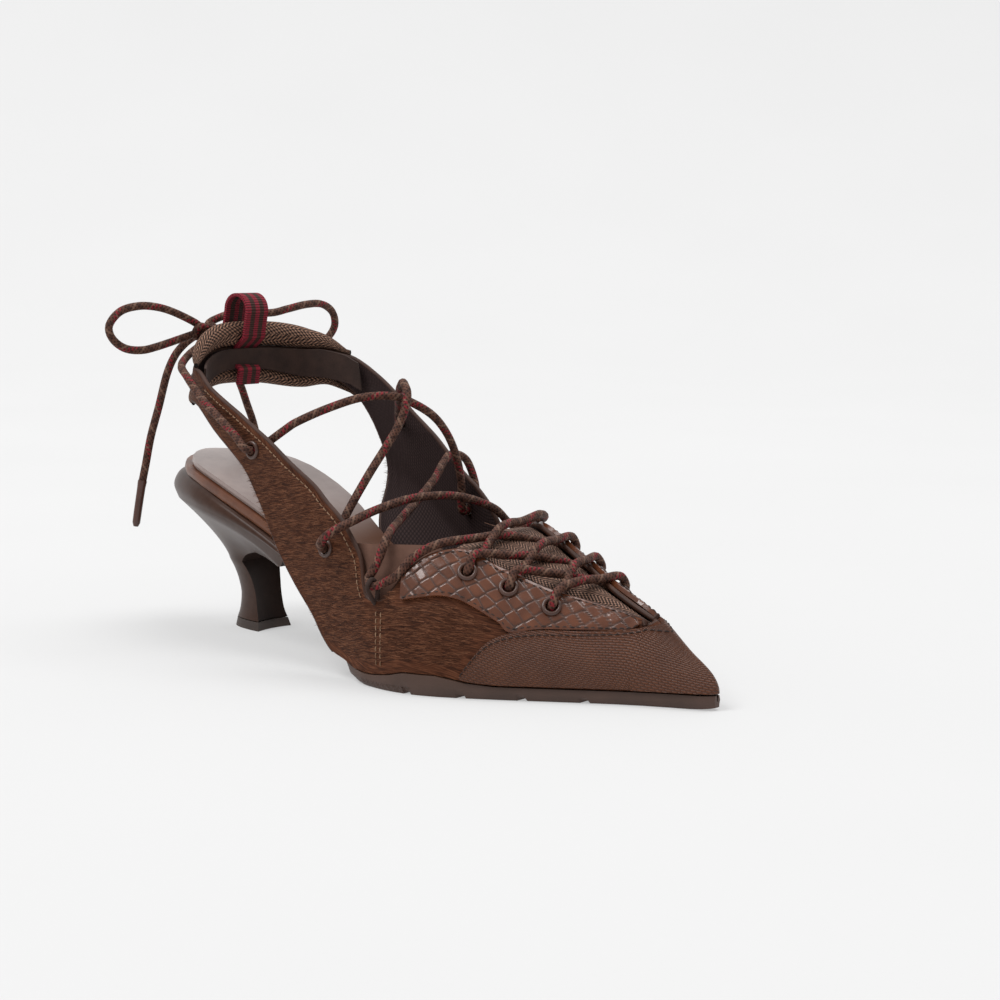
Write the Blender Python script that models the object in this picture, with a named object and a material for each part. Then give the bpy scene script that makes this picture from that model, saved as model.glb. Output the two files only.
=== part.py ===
"""Right-foot slingback shoe: pointed toe, kitten heel, laced vamp, sling tied behind the heel tab.

Sizes are in millimetres. "back" is the distance behind the toe tip, "across" runs from the
lateral side (negative) to the medial side (positive), and "up" is the height over the floor.
"""
import math
from collections import namedtuple

import bmesh
import bpy
from mathutils import Vector

MM = 0.001
GAP = 0.3

# Driving sizes
SHOE_LENGTH = 258.5
LATERAL, MEDIAL = -1, 1

# Sole, station by station: outline, underside, edge of the sole and top of the sock
SoleRow = namedtuple("SoleRow", "back lateral medial under edge sock")
SOLE = [
    SoleRow(0.0, 2.2, 5.2, 1.0, 4.8, 5.6),
    SoleRow(3.0, -0.2, 7.2, 0.4, 4.7, 5.7),
    SoleRow(10.0, -2.8, 10.2, 0.0, 4.6, 6.0),
    SoleRow(25.0, -9.6, 17.0, 0.0, 4.4, 6.0),
    SoleRow(45.0, -21.5, 25.5, 0.0, 4.3, 6.2),
    SoleRow(62.0, -32.0, 31.0, 0.0, 4.3, 6.5),
    SoleRow(72.0, -37.8, 33.8, 0.0, 5.3, 6.8),
    SoleRow(80.0, -42.0, 35.4, 0.0, 7.0, 7.0),
    SoleRow(90.0, -45.2, 36.0, 0.0, 7.0, 7.3),
    SoleRow(98.0, -46.0, 35.0, 0.0, 5.4, 7.9),
    SoleRow(108.0, -45.2, 32.2, 0.1, 4.3, 9.9),
    SoleRow(118.0, -41.8, 28.2, 1.2, 5.0, 13.8),
    SoleRow(128.0, -35.8, 24.2, 6.6, 10.0, 19.8),
    SoleRow(140.0, -31.4, 20.8, 15.5, 19.3, 27.5),
    SoleRow(152.0, -29.3, 20.2, 25.0, 28.5, 35.3),
    SoleRow(166.0, -28.0, 22.6, 35.0, 37.8, 43.7),
    SoleRow(180.0, -28.2, 26.6, 41.0, 44.3, 50.8),
    SoleRow(195.0, -28.0, 29.4, 45.2, 50.2, 56.8),
    SoleRow(210.0, -26.4, 30.4, 47.6, 55.2, 61.8),
    SoleRow(225.0, -21.8, 29.0, 48.8, 58.6, 65.0),
    SoleRow(240.0, -14.8, 23.8, 49.4, 60.6, 66.8),
    SoleRow(250.0, -7.4, 17.6, 49.6, 61.4, 67.5),
    SoleRow(255.5, 0.2, 11.0, 49.6, 61.8, 67.8),
    SoleRow(258.5, 5.0, 6.4, 49.6, 62.0, 68.0),
]

# Upper, station by station: where its wall stands and the height its section would close at
WallRow = namedtuple("WallRow", "back lateral medial ridge spine")
WALL = [
    WallRow(1.2, 3.0, 4.6, 9.0, 3.8),
    WallRow(4.0, 1.0, 6.4, 11.4, 3.7),
    WallRow(10.0, -1.8, 9.2, 15.6, 3.3),
    WallRow(24.0, -8.0, 15.6, 26.6, 2.4),
    WallRow(45.0, -20.3, 24.3, 35.0, 2.0),
    WallRow(62.0, -30.8, 29.8, 43.5, 1.4),
    WallRow(72.0, -36.6, 32.6, 49.0, 0.6),
    WallRow(80.0, -40.8, 34.2, 54.0, 0.0),
    WallRow(90.0, -44.0, 35.0, 61.0, -1.0),
    WallRow(98.0, -44.8, 35.3, 70.0, -1.2),
    WallRow(108.0, -44.0, 35.6, 90.0, -1.4),
    WallRow(118.0, -42.4, 35.8, 118.0, -1.5),
    WallRow(128.0, -41.0, 35.8, 160.0, -1.5),
    WallRow(140.0, -39.6, 35.6, 230.0, -1.5),
    WallRow(152.0, -38.5, 35.5, 500.0, -1.5),
]
WALL_THICKNESS = 1.8
FEATHER_INSET = 1.2
ROUNDNESS = {LATERAL: 1.75, MEDIAL: 2.2}
TOE_ROUNDNESS, TOE_REACH = 1.3, 60.0
TUCK_HEIGHT = 22.0
WALL_BASE = 5.3
WAIST_START = 118.0

# Sling: a squared U in plan that leans forward over the heel
SLING_START, SLING_BACK = 150.0, 222.0
SLING_CENTRE, SLING_HALF = -1.5, 37.0
SLING_POWER = 3.0
SLING_SKEW = 0.1
SLING_LEAN, SLING_LEAN_FROM = 0.22, 95.0
BAND_LOW, BAND_TOP = 101.5, 108.0
BACK_ANGLES = [52, 60, 68, 76, 84]

# Edges of the upper: lower edge and top edge of each column of the wall; None is the sole's edge
EdgeRow = namedtuple("EdgeRow", "low_back low_up top_back top_up")
EDGES = {
    LATERAL: [
        EdgeRow(24.0, None, 27.0, 26.6), EdgeRow(34.0, None, 40.0, 30.0),
        EdgeRow(45.0, None, 53.0, 33.4), EdgeRow(53.0, None, 61.0, 36.4),
        EdgeRow(60.0, None, 69.0, 39.6), EdgeRow(66.0, None, 75.0, 42.2),
        EdgeRow(71.0, None, 79.0, 44.8), EdgeRow(76.0, None, 84.0, 46.2),
        EdgeRow(81.0, None, 89.0, 45.6), EdgeRow(86.0, None, 93.5, 43.0),
        EdgeRow(91.0, None, 97.0, 39.0), EdgeRow(95.0, None, 100.0, 33.5),
        EdgeRow(99.0, None, 103.0, 29.5), EdgeRow(103.0, None, 107.0, 28.3),
        EdgeRow(107.0, None, 111.5, 29.3), EdgeRow(110.0, None, 114.0, 34.0),
        EdgeRow(113.0, None, 116.4, 41.5), EdgeRow(116.0, None, 121.0, 47.5),
        EdgeRow(121.0, 7.0, 127.0, 54.0), EdgeRow(128.0, 9.0, 134.0, 59.0),
        EdgeRow(133.7, 13.8, 140.0, 64.0), EdgeRow(139.0, 20.4, 146.0, 67.8),
        EdgeRow(147.0, 28.2, 152.0, 71.2), EdgeRow(153.0, 35.0, 158.0, 75.2),
        EdgeRow(158.4, 42.8, 163.0, 78.4), EdgeRow(164.0, 53.2, 168.0, 81.2),
        EdgeRow(168.4, 60.2, 173.0, 84.0), EdgeRow(173.5, 67.4, 178.0, 86.8),
        EdgeRow(181.0, 73.5, 186.0, 90.6), EdgeRow(192.0, 80.8, 196.0, 95.2),
        EdgeRow(204.0, 88.4, 206.0, 100.0),
    ],
    MEDIAL: [
        EdgeRow(24.0, None, 27.0, 27.0), EdgeRow(34.0, None, 41.0, 32.6),
        EdgeRow(45.0, None, 57.0, 38.4), EdgeRow(53.0, None, 65.0, 41.4),
        EdgeRow(60.0, None, 73.0, 44.4), EdgeRow(66.0, None, 79.0, 47.0),
        EdgeRow(71.0, None, 84.0, 48.8), EdgeRow(76.0, None, 88.0, 49.6),
        EdgeRow(81.0, None, 92.0, 49.0), EdgeRow(86.0, None, 96.0, 46.0),
        EdgeRow(91.0, None, 99.0, 42.0), EdgeRow(95.0, None, 102.0, 38.0),
        EdgeRow(99.0, None, 105.0, 35.6), EdgeRow(103.0, None, 109.0, 35.4),
        EdgeRow(107.0, None, 112.5, 38.0), EdgeRow(111.0, None, 115.0, 43.0),
        EdgeRow(115.0, None, 118.0, 48.5), EdgeRow(119.0, None, 122.0, 53.5),
        EdgeRow(126.0, None, 128.0, 58.6), EdgeRow(134.0, None, 135.0, 63.5),
        EdgeRow(142.0, None, 142.0, 69.5), EdgeRow(150.0, None, 148.0, 74.6),
        EdgeRow(158.0, None, 154.0, 79.0), EdgeRow(164.0, 38.6, 160.0, 83.2),
        EdgeRow(168.0, 45.5, 165.0, 87.0), EdgeRow(171.0, 54.5, 170.0, 90.6),
        EdgeRow(173.0, 62.5, 175.0, 94.2), EdgeRow(177.0, 72.5, 181.0, 97.6),
        EdgeRow(183.0, 82.5, 188.0, 101.2), EdgeRow(191.0, 91.0, 195.0, 104.0),
        EdgeRow(203.0, 97.2, 205.0, 106.2),
    ],
}
WALL_ROWS = 8
THROAT_POINT = 23.0
THROAT_HALF = 3.4
FAN_STEPS = 5

# Overlays on the upper
OVERLAY_THICKNESS, OVERLAY_GAP = 0.8, 0.7
PanelRow = namedtuple("PanelRow", "back up")
CAP_SEAM = {
    LATERAL: [PanelRow(33.2, 22.7), PanelRow(44.2, 22.2), PanelRow(54.2, 22.1), PanelRow(61.8, 20.8),
              PanelRow(66.6, 18.0), PanelRow(70.0, 12.8), PanelRow(73.0, 6.9)],
    MEDIAL: [PanelRow(34.0, 23.6), PanelRow(44.0, 23.6), PanelRow(54.0, 23.4), PanelRow(61.5, 21.8),
             PanelRow(66.5, 18.6), PanelRow(70.0, 13.0), PanelRow(73.0, 7.0)],
}
STAY_LOWER = {
    LATERAL: [PanelRow(30.0, 25.4), PanelRow(44.0, 24.2), PanelRow(54.0, 23.8), PanelRow(61.0, 23.2),
              PanelRow(65.0, 24.2), PanelRow(69.1, 26.5), PanelRow(74.1, 29.2), PanelRow(78.5, 31.1),
              PanelRow(84.1, 31.9), PanelRow(90.0, 31.0), PanelRow(96.0, 29.9)],
    MEDIAL: [PanelRow(30.0, 26.8), PanelRow(44.0, 25.8), PanelRow(54.0, 25.0), PanelRow(61.0, 24.6),
             PanelRow(65.0, 25.8), PanelRow(69.5, 28.6), PanelRow(74.5, 31.6), PanelRow(79.0, 33.6),
             PanelRow(84.5, 34.6), PanelRow(91.0, 34.8), PanelRow(98.0, 35.6)],
}
STAY_EDGE_MARGIN = 1.0
CAP_START, CAP_NOSE_END, CAP_SIDE_END, CAP_LIFT = 0.03, 0.95, 0.86, 0.5

# Tongue under the lacing
TONGUE_START, TONGUE_END, TONGUE_STATIONS = 24.0, 87.0, 12
TONGUE_THICKNESS, TONGUE_DEPTH, TONGUE_CROWN, TONGUE_LAP = 1.2, 2.6, 1.2, 5.0

# Heel, ring by ring from the tip up: back and front of the column and its half width
HeelRow = namedtuple("HeelRow", "up rear front half")
HEEL_TIP = 3.3
HEEL_COLUMN = [
    HeelRow(3.6, 223.8, 206.0, 7.6),
    HeelRow(7.0, 222.4, 207.2, 6.9),
    HeelRow(13.0, 221.6, 208.2, 6.6),
    HeelRow(18.0, 222.6, 209.2, 7.1),
    HeelRow(22.5, 224.2, 210.6, 8.1),
    HeelRow(26.5, 226.0, 212.4, 9.7),
]
HEEL_CENTRE = 3.4
HEEL_START = 166.3
BREAST_HOLLOW = 1.4

# Flare from the column to the rim: share of the rise, and how far the breast's edge arches over or under it
FlareRow = namedtuple("FlareRow", "rise arch")
FLARE = [FlareRow(0.2, 1.8), FlareRow(0.4, 2.2), FlareRow(0.6, 0.8), FlareRow(0.8, -1.6), FlareRow(0.93, -3.4)]
FLARE_POWER = 1.35
RIM_TOP_INSET_SIDE, RIM_TOP_INSET_BACK = 1.6, 6.5
RING_FRONT, RING_SIDE = 5, 11

# Footbed
RAND_START, RAND_END, SOCK_START, SOCK_END = 128.3, 250.2, 9.0, 244.6
SOCK_THICKNESS = 2.4
SOCK_INSET, RAND_INSET = 3.6, 2.0
RAND_WALL_INSET, RAND_WALL_END = 3.6, 168.0

# Tread and side of the outsole
GROOVES = [38.0, 55.3, 72.6, 90.0]
GROOVE_WIDTH, GROOVE_DEPTH = 2.2, 1.0
RIB_START, RIB_END, RIB_PITCH, RIB_DEPTH = 92.0, 110.0, 2.4, 0.35
LIP_WIDTH = 3.1

# Eyelets and lace
EYELET_OUTER, EYELET_HOLE, EYELET_HEIGHT = 3.4, 1.9, 1.0
LACE_RADIUS = 1.75
STAY_LIFT, QUARTER_LIFT, STRAP_LIFT = 5.9, 3.6, 2.6
LACE_TURN = 2.3
LOWER_STRAND, UPPER_STRAND, STRAND_SIDE = 3.4, 7.4, 5.9
STRAND_STEPS = [0.14, 0.32, 0.5, 0.68, 0.86]
EyeletRow = namedtuple("EyeletRow", "name side back up")
STAY_EYELETS = [
    EyeletRow("eyelet_lateral_1", LATERAL, 78.8, 38.9), EyeletRow("eyelet_lateral_2", LATERAL, 66.2, 34.3),
    EyeletRow("eyelet_lateral_3", LATERAL, 52.5, 28.9), EyeletRow("eyelet_medial_1", MEDIAL, 75.5, 39.6),
    EyeletRow("eyelet_medial_2", MEDIAL, 61.5, 34.5), EyeletRow("eyelet_medial_3", MEDIAL, 48.5, 30.0),
]
QUARTER_EYELETS = [
    EyeletRow("eyelet_lateral_mid", LATERAL, 132.4, 43.6),
    EyeletRow("eyelet_lateral_upper", LATERAL, 169.5, 74.6),
    EyeletRow("eyelet_medial_mid", MEDIAL, 132.0, 50.0),
    EyeletRow("eyelet_medial_upper", MEDIAL, 167.0, 80.0),
]

# Heel tab
RollRow = namedtuple("RollRow", "name direction half_thick half_high")
ROLLS = [RollRow("heel_roll_top", 1, 3.8, 4.6), RollRow("heel_roll_low", -1, 3.4, 3.2)]
ROLL_GAP, ROLL_STEPS = 0.7, 10
LOOP_WIDTH, LOOP_THICKNESS, LOOP_REACH = 10.5, 1.2, 6.0
LOOP_TOP, LOOP_INNER_END, LOOP_OUTER_END, LOOP_ACROSS = 128.0, 94.0, 109.5, 0.5
LACE_LOOP_RADIUS, LOOP_STAND = 1.1, 1.6
LOOP_OUTLINE = [(-3.0, -5.2), (-2.8, -1.6), (-2.0, 0.8), (0.0, 1.8), (2.0, 0.8), (2.8, -1.6), (3.0, -5.2)]

# Lace where it runs free: back, across and up of each point on its way
NOTCH_TURN = {
    LATERAL: [(109.6, -41.4, 35.9), (106.8, -42.6, 33.8), (103.6, -40.4, 35.0)],
    MEDIAL: [(105.6, 31.6, 45.0), (108.6, 34.4, 44.6), (111.4, 32.2, 47.0)],
}
TO_MEDIAL_MID = [(113.0, -36.0, 43.0), (118.0, -22.0, 49.0), (124.0, -4.0, 56.0), (131.0, 14.0, 62.5),
                 (136.0, 24.0, 67.0), (138.0, 31.0, 70.0), (137.5, 38.5, 67.5), (135.0, 40.7, 59.0)]
TO_LATERAL_MID = [(111.6, 24.0, 50.5), (114.0, 8.0, 55.5), (118.0, -10.0, 60.5), (123.0, -29.0, 61.5),
                  (126.0, -38.5, 60.0), (128.5, -43.4, 54.0)]
INSTEP = {
    "lace_instep_a": [(169.5, -33.2, 74.6), (160.0, -31.5, 82.0), (157.3, -28.2, 84.7), (150.7, -20.4, 89.1),
                      (141.6, -12.7, 93.0), (134.9, -4.9, 93.6), (133.1, 2.9, 91.5), (129.2, 10.7, 86.5),
                      (129.1, 18.4, 79.6), (129.5, 24.0, 71.0), (131.0, 28.5, 61.0), (132.0, 30.4, 50.5)],
    "lace_instep_b": [(167.0, 30.5, 80.0), (158.0, 24.0, 86.5), (146.0, 12.0, 94.0), (138.0, 5.0, 97.5),
                      (133.0, 1.0, 97.4), (128.8, -2.0, 93.0), (128.8, -7.0, 83.0), (131.0, -20.0, 66.5),
                      (131.7, -31.0, 52.5), (132.0, -34.6, 45.5)],
}
KNOT_SPOT, KNOT_SIZE = (228.5, -9.1, 114.0), (4.2, 4.8, 4.2)
STRAP_RUN = {
    LATERAL: [PanelRow(176.0, 79.6), PanelRow(183.0, 84.2), PanelRow(191.0, 88.8), PanelRow(199.0, 93.6)],
    MEDIAL: [PanelRow(177.0, 82.0), PanelRow(186.0, 90.0), PanelRow(195.0, 96.5), PanelRow(203.0, 101.0)],
}
STRAP_END = {
    LATERAL: [(209.0, -34.2, 98.6), (217.4, -29.8, 102.0), (223.4, -21.6, 105.4), (227.0, -11.8, 109.4)],
    MEDIAL: [(213.0, 29.4, 103.0), (221.0, 21.0, 104.6), (226.0, 10.0, 104.6), (227.2, 0.0, 105.4),
             (227.4, -6.0, 109.0)],
}
LOOSE_LACE = {
    "bow_left": [(229.2, -13.2, 117.5), (231.0, -22.0, 121.6), (232.5, -29.0, 123.6), (234.0, -36.0, 124.0),
                 (235.6, -43.0, 122.2), (236.8, -47.4, 117.2), (236.4, -46.6, 112.4), (235.2, -42.0, 108.6),
                 (233.8, -35.4, 107.6), (232.4, -28.1, 108.9), (229.8, -14.5, 112.7)],
    "bow_right": [(228.6, -5.2, 117.8), (227.0, 6.0, 120.8), (224.0, 20.6, 120.4), (222.0, 28.0, 121.8),
                  (221.0, 37.0, 123.4), (221.0, 45.6, 123.4), (222.0, 52.6, 120.0), (223.0, 54.6, 114.2),
                  (224.0, 50.2, 108.8), (225.0, 42.0, 106.2), (226.2, 31.0, 107.2), (227.6, 19.0, 110.0),
                  (229.6, 6.0, 111.8),
                  (229.0, -3.8, 112.9)],
    "lace_end_1": [(233.1, -10.2, 111.9), (236.6, -12.2, 109.0), (239.4, -14.6, 104.6), (241.0, -17.4, 97.6),
                   (243.0, -20.0, 85.4), (244.0, -23.4, 74.0), (245.0, -25.3, 63.8), (245.7, -26.6, 57.0)],
    "lace_end_2": [(232.2, -6.4, 110.9), (235.0, -2.2, 107.6), (236.4, 4.0, 104.2), (236.8, 11.5, 99.4),
                   (237.5, 16.5, 92.2), (238.4, 20.7, 84.0), (238.8, 24.6, 75.3), (239.2, 28.9, 60.8),
                   (239.5, 31.0, 53.0)],
}
AGLET_RADIUS = 1.6
AGLETS = {
    "aglet_1": [(245.8, -26.8, 56.2), (246.4, -28.2, 47.6), (247.0, -29.4, 39.4)],
    "aglet_2": [(239.55, 31.2, 52.2), (239.8, 33.2, 44.0), (240.0, 35.2, 35.8)],
}
LOOSE = ["lace_knot", "lace_strap_lateral", "lace_strap_medial", *LOOSE_LACE, *AGLETS]

COLOURS = {
    "rubber": (0.075, 0.045, 0.036), "heel": (0.06, 0.042, 0.036), "leather": (0.12, 0.045, 0.022),
    "sock": (0.33, 0.28, 0.26), "hair": (0.115, 0.04, 0.02), "cap": (0.11, 0.042, 0.022),
    "croc": (0.10, 0.04, 0.025), "mesh": (0.10, 0.055, 0.035), "eyelet": (0.05, 0.025, 0.018),
    "webbing": (0.16, 0.012, 0.02), "lace": (0.085, 0.035, 0.03),
}


def monotone(xs, ys):
    """Smooth curve through points that never overshoots them."""
    n = len(xs)
    steps = [(ys[i + 1] - ys[i]) / (xs[i + 1] - xs[i]) for i in range(n - 1)]
    slopes = [steps[0]]
    for before, after in zip(steps, steps[1:]):
        slopes.append(0.0 if before * after <= 0 else 2 * before * after / (before + after))
    slopes.append(steps[-1])

    def value(x):
        x = min(max(x, xs[0]), xs[-1])
        i = max(k for k in range(n - 1) if xs[k] <= x)
        width = xs[i + 1] - xs[i]
        s = (x - xs[i]) / width
        return (ys[i] * (1 + 2 * s) * (1 - s) ** 2 + ys[i + 1] * s * s * (3 - 2 * s)
                + width * (slopes[i] * s * (1 - s) ** 2 - slopes[i + 1] * s * s * (1 - s)))

    return value


def column(rows, name, by="back"):
    """One column of a table as a smooth curve along the shoe."""
    return monotone([getattr(row, by) for row in rows], [getattr(row, name) for row in rows])


def mix(a, b, s):
    return a + (b - a) * s


def ease(s):
    s = min(max(s, 0.0), 1.0)
    return s * s * (3 - 2 * s)


sole_side = {LATERAL: column(SOLE, "lateral"), MEDIAL: column(SOLE, "medial")}
sole_under = column(SOLE, "under")
sole_edge = column(SOLE, "edge")
sock_top = column(SOLE, "sock")
wall_side = {LATERAL: column(WALL, "lateral"), MEDIAL: column(WALL, "medial")}
wall_ridge = column(WALL, "ridge")
wall_spine = column(WALL, "spine")
throat_edge = {side: monotone([row.top_back for row in rows], [row.top_up for row in rows])
               for side, rows in EDGES.items()}


def place(back, across, up):
    """A point in the design frame, +X towards the toe."""
    return Vector((-back, across, up))


def sling_across(side, back):
    reach = min(max((back - SLING_START) / (SLING_BACK - SLING_START), 0.0), 1.0)
    return SLING_CENTRE + side * SLING_HALF * (1 - reach ** SLING_POWER) ** (1 / SLING_POWER)


def wall_base(back):
    return sole_edge(back) + GAP if back < WAIST_START else WALL_BASE


def wall_half(side, back):
    if back > SLING_START:
        return abs(sling_across(side, back) - SLING_CENTRE)
    return abs(wall_side[side](back) - wall_spine(back))


def roundness(side, back):
    """Power of the section's curve, which is sharper towards the toe."""
    return mix(TOE_ROUNDNESS, ROUNDNESS[side], ease(back / TOE_REACH))


def tuck(side, back, up):
    """How far the medial wall draws in to the narrow waist of the sole."""
    if side == LATERAL or back < SOLE[8].back:
        return 0.0
    full = wall_side[side](back) - (sole_side[side](back) - FEATHER_INSET)
    return max(full, 0.0) * (1 - ease((up - sole_edge(back)) / TUCK_HEIGHT))


def wall_at_height(side, back, up):
    """Point of the upper's outer face at a height."""
    power = roundness(side, back)
    share = min(max((up - wall_base(back)) / (wall_ridge(back) - wall_base(back)), 0.0), 1.0)
    reach = wall_half(side, back) * (1 - share ** power) ** (1 / power)
    across = wall_spine(back) + side * (reach - tuck(side, back, up))
    skew = SLING_SKEW * (across - SLING_CENTRE) * ease((back - SLING_START) / (SLING_BACK - SLING_START))
    lean = SLING_LEAN * max(up - SLING_LEAN_FROM, 0.0)
    return place(back - skew - lean, across, up)


def wall_at_angle(side, back, angle):
    """Point of the upper's outer face at an angle over the section, 0 at the sole and 90 at the ridge."""
    share = math.sin(math.radians(angle)) ** (2 / roundness(side, back))
    return wall_at_height(side, back, mix(wall_base(back), wall_ridge(back), share))


def angle_at_height(side, back, up):
    share = min(max((up - wall_base(back)) / (wall_ridge(back) - wall_base(back)), 0.0), 1.0)
    return math.degrees(math.asin(share ** (roundness(side, back) / 2)))


def surface_up(back, across):
    """Height of the vamp over a point in plan."""
    side = LATERAL if across < wall_spine(back) else MEDIAL
    power = roundness(side, back)
    share = min(abs(across - wall_spine(back)) / wall_half(side, back), 1.0)
    return mix(wall_base(back), wall_ridge(back), (1 - share ** power) ** (1 / power))


def sling_point(side, angle, up):
    """Point of the sling's outer face by its angle round the back."""
    turn = math.radians(angle)
    back = mix(SLING_START, SLING_BACK, math.sin(turn) ** (2 / SLING_POWER))
    across = SLING_CENTRE + side * SLING_HALF * math.cos(turn) ** (2 / SLING_POWER)
    skew = SLING_SKEW * (across - SLING_CENTRE) * ease((back - SLING_START) / (SLING_BACK - SLING_START))
    return place(back - skew - SLING_LEAN * max(up - SLING_LEAN_FROM, 0.0), across, up)


def finish(name, points, faces, colour, roughness=0.6):
    """Named object from points in the design frame, with its own material."""
    mesh = bpy.data.meshes.new(name)
    mesh.from_pydata([p * MM for p in points], [], faces)
    solid = bmesh.new()
    solid.from_mesh(mesh)
    bmesh.ops.recalc_face_normals(solid, faces=solid.faces)
    solid.to_mesh(mesh)
    solid.free()
    mesh.shade_smooth()
    mesh.set_sharp_from_angle(angle=math.radians(40))
    piece = bpy.data.objects.new(name, mesh)
    bpy.context.collection.objects.link(piece)
    mesh.materials.append(finish_material(name, colour, roughness))
    return piece


def finish_material(name, colour, roughness):
    material = bpy.data.materials.new(name)
    material.use_nodes = True
    shader = material.node_tree.nodes["Principled BSDF"]
    shader.inputs["Base Color"].default_value = (*COLOURS[colour], 1.0)
    shader.inputs["Roughness"].default_value = roughness
    return material


def loft(rings, ladder_top=False):
    """Closed solid through rings of the same number of points."""
    count = len(rings[0])
    points = [p for ring in rings for p in ring]
    faces = []
    for level in range(len(rings) - 1):
        for i in range(count):
            j = (i + 1) % count
            faces.append((level * count + i, level * count + j,
                          (level + 1) * count + j, (level + 1) * count + i))
    faces.append(tuple(reversed(range(count))))
    last = (len(rings) - 1) * count
    if not ladder_top:
        faces.append(tuple(range(last, last + count)))
        return points, faces
    for i in range(count // 2):
        pair = [last + i, last + i + 1, last + (count - i - 1) % count, last + (count - i) % count]
        faces.append(tuple(dict.fromkeys(pair)))
    return points, faces


def offset_grid(grid, distance, closed):
    """Copy of a grid of points moved along its outward normals."""
    count = len(grid)
    moved = []
    for k, line in enumerate(grid):
        before = grid[(k - 1) % count] if closed else grid[max(k - 1, 0)]
        after = grid[(k + 1) % count] if closed else grid[min(k + 1, count - 1)]
        out = []
        for m, point in enumerate(line):
            along = after[m] - before[m]
            rise = line[min(m + 1, len(line) - 1)] - line[max(m - 1, 0)]
            out.append(point + along.cross(rise).normalized() * distance)
        moved.append(out)
    return moved


def shell(outer, inner, closed):
    """Closed solid between two grids of points."""
    count, rows = len(outer), len(outer[0])
    points = [p for line in outer for p in line] + [p for line in inner for p in line]
    far = count * rows
    faces = []
    for k in range(count if closed else count - 1):
        a, b = k * rows, ((k + 1) % count) * rows
        for m in range(rows - 1):
            faces.append((a + m, b + m, b + m + 1, a + m + 1))
            faces.append((far + a + m + 1, far + b + m + 1, far + b + m, far + a + m))
        top = rows - 1
        faces.append((b, a, far + a, far + b))
        faces.append((a + top, b + top, far + b + top, far + a + top))
    if not closed:
        last = (count - 1) * rows
        for m in range(rows - 1):
            faces.append((m, m + 1, far + m + 1, far + m))
            faces.append((last + m + 1, last + m, far + last + m, far + last + m + 1))
    return points, faces


def wall_column(side, row):
    """Points of the wall from its lower edge to its top edge."""
    on_sole = row.low_up is None
    low_up = sole_edge(row.low_back) + GAP if on_sole else row.low_up
    by_angle = on_sole and row.low_back < WAIST_START
    top_angle = angle_at_height(side, row.top_back, row.top_up)
    line = []
    for m in range(WALL_ROWS):
        s = m / (WALL_ROWS - 1)
        back = mix(row.low_back, row.top_back, s)
        if by_angle:
            line.append(wall_at_angle(side, back, top_angle * s))
        else:
            line.append(wall_at_height(side, back, mix(low_up, row.top_up, s)))
    return line


def fan_column(side, share, start=0.0, end=1.0):
    """Column of the toe: all of them run up to the point of the throat."""
    first = EDGES[side][0]
    low_back = mix(WALL[0].back, first.low_back, share ** 1.4)
    top_back = mix(THROAT_POINT, first.top_back, 1 - math.cos(share * math.pi / 2))
    top_half = mix(0.0, THROAT_HALF, math.sin(share * math.pi / 2))
    reach = min(top_half / wall_half(side, top_back), 1.0)
    top_angle = math.degrees(math.acos(reach ** (roundness(side, top_back) / 2)))
    bend = mix(2.6, 1.0, share)
    line = []
    for m in range(WALL_ROWS):
        s = mix(start, end, m / (WALL_ROWS - 1))
        point = wall_at_angle(side, mix(low_back, top_back, s ** bend), top_angle * (1 - (1 - s) ** bend))
        if share == 0.0:
            point.y = wall_spine(-point.x)
        line.append(point)
    return line


def back_column(side, angle):
    """Column of the sling by its angle round the back of the heel."""
    last = EDGES[side][-1]
    reach = (last.top_back - SLING_START) / (SLING_BACK - SLING_START)
    first_angle = math.degrees(math.asin(reach ** (SLING_POWER / 2)))
    s = ease((angle - first_angle) / (90 - first_angle))
    low, top = mix(last.low_up, BAND_LOW, s), mix(last.top_up, BAND_TOP, s)
    return [sling_point(side, angle, mix(low, top, m / (WALL_ROWS - 1))) for m in range(WALL_ROWS)]


def upper_grid():
    """Outer face of the upper: a ring of columns from the back of the heel round the toe and back."""
    fans = [i / FAN_STEPS for i in range(1, FAN_STEPS)]
    lateral = [back_column(LATERAL, a) for a in [90] + BACK_ANGLES[::-1]]
    lateral += [wall_column(LATERAL, row) for row in reversed(EDGES[LATERAL])]
    lateral += [fan_column(LATERAL, s) for s in reversed(fans)] + [fan_column(LATERAL, 0.0)]
    medial = [fan_column(MEDIAL, s) for s in fans]
    medial += [wall_column(MEDIAL, row) for row in EDGES[MEDIAL]]
    medial += [back_column(MEDIAL, a) for a in BACK_ANGLES]
    return lateral + medial


def make_upper():
    outer = upper_grid()
    inner = offset_grid(outer, -WALL_THICKNESS, closed=True)
    for outside, inside in zip(outer, inner):
        inside[0].z = max(inside[0].z, outside[0].z)
    finish("upper", *shell(outer, inner, closed=True), "hair", 0.85)


def overlay(name, lines, colour, roughness):
    """Thin panel that lies on the upper."""
    bottom = offset_grid(lines, OVERLAY_GAP, closed=False)
    top = offset_grid(lines, OVERLAY_GAP + OVERLAY_THICKNESS, closed=False)
    finish(name, *shell(top, bottom, closed=False), colour, roughness)


def panel_line(side, low_back, low_up, top_back, top_up, rows=WALL_ROWS):
    low = angle_at_height(side, low_back, low_up)
    high = angle_at_height(side, top_back, top_up)
    steps = [m / (rows - 1) for m in range(rows)]
    return [wall_at_angle(side, mix(low_back, top_back, s), mix(low, high, s)) for s in steps]


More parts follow.
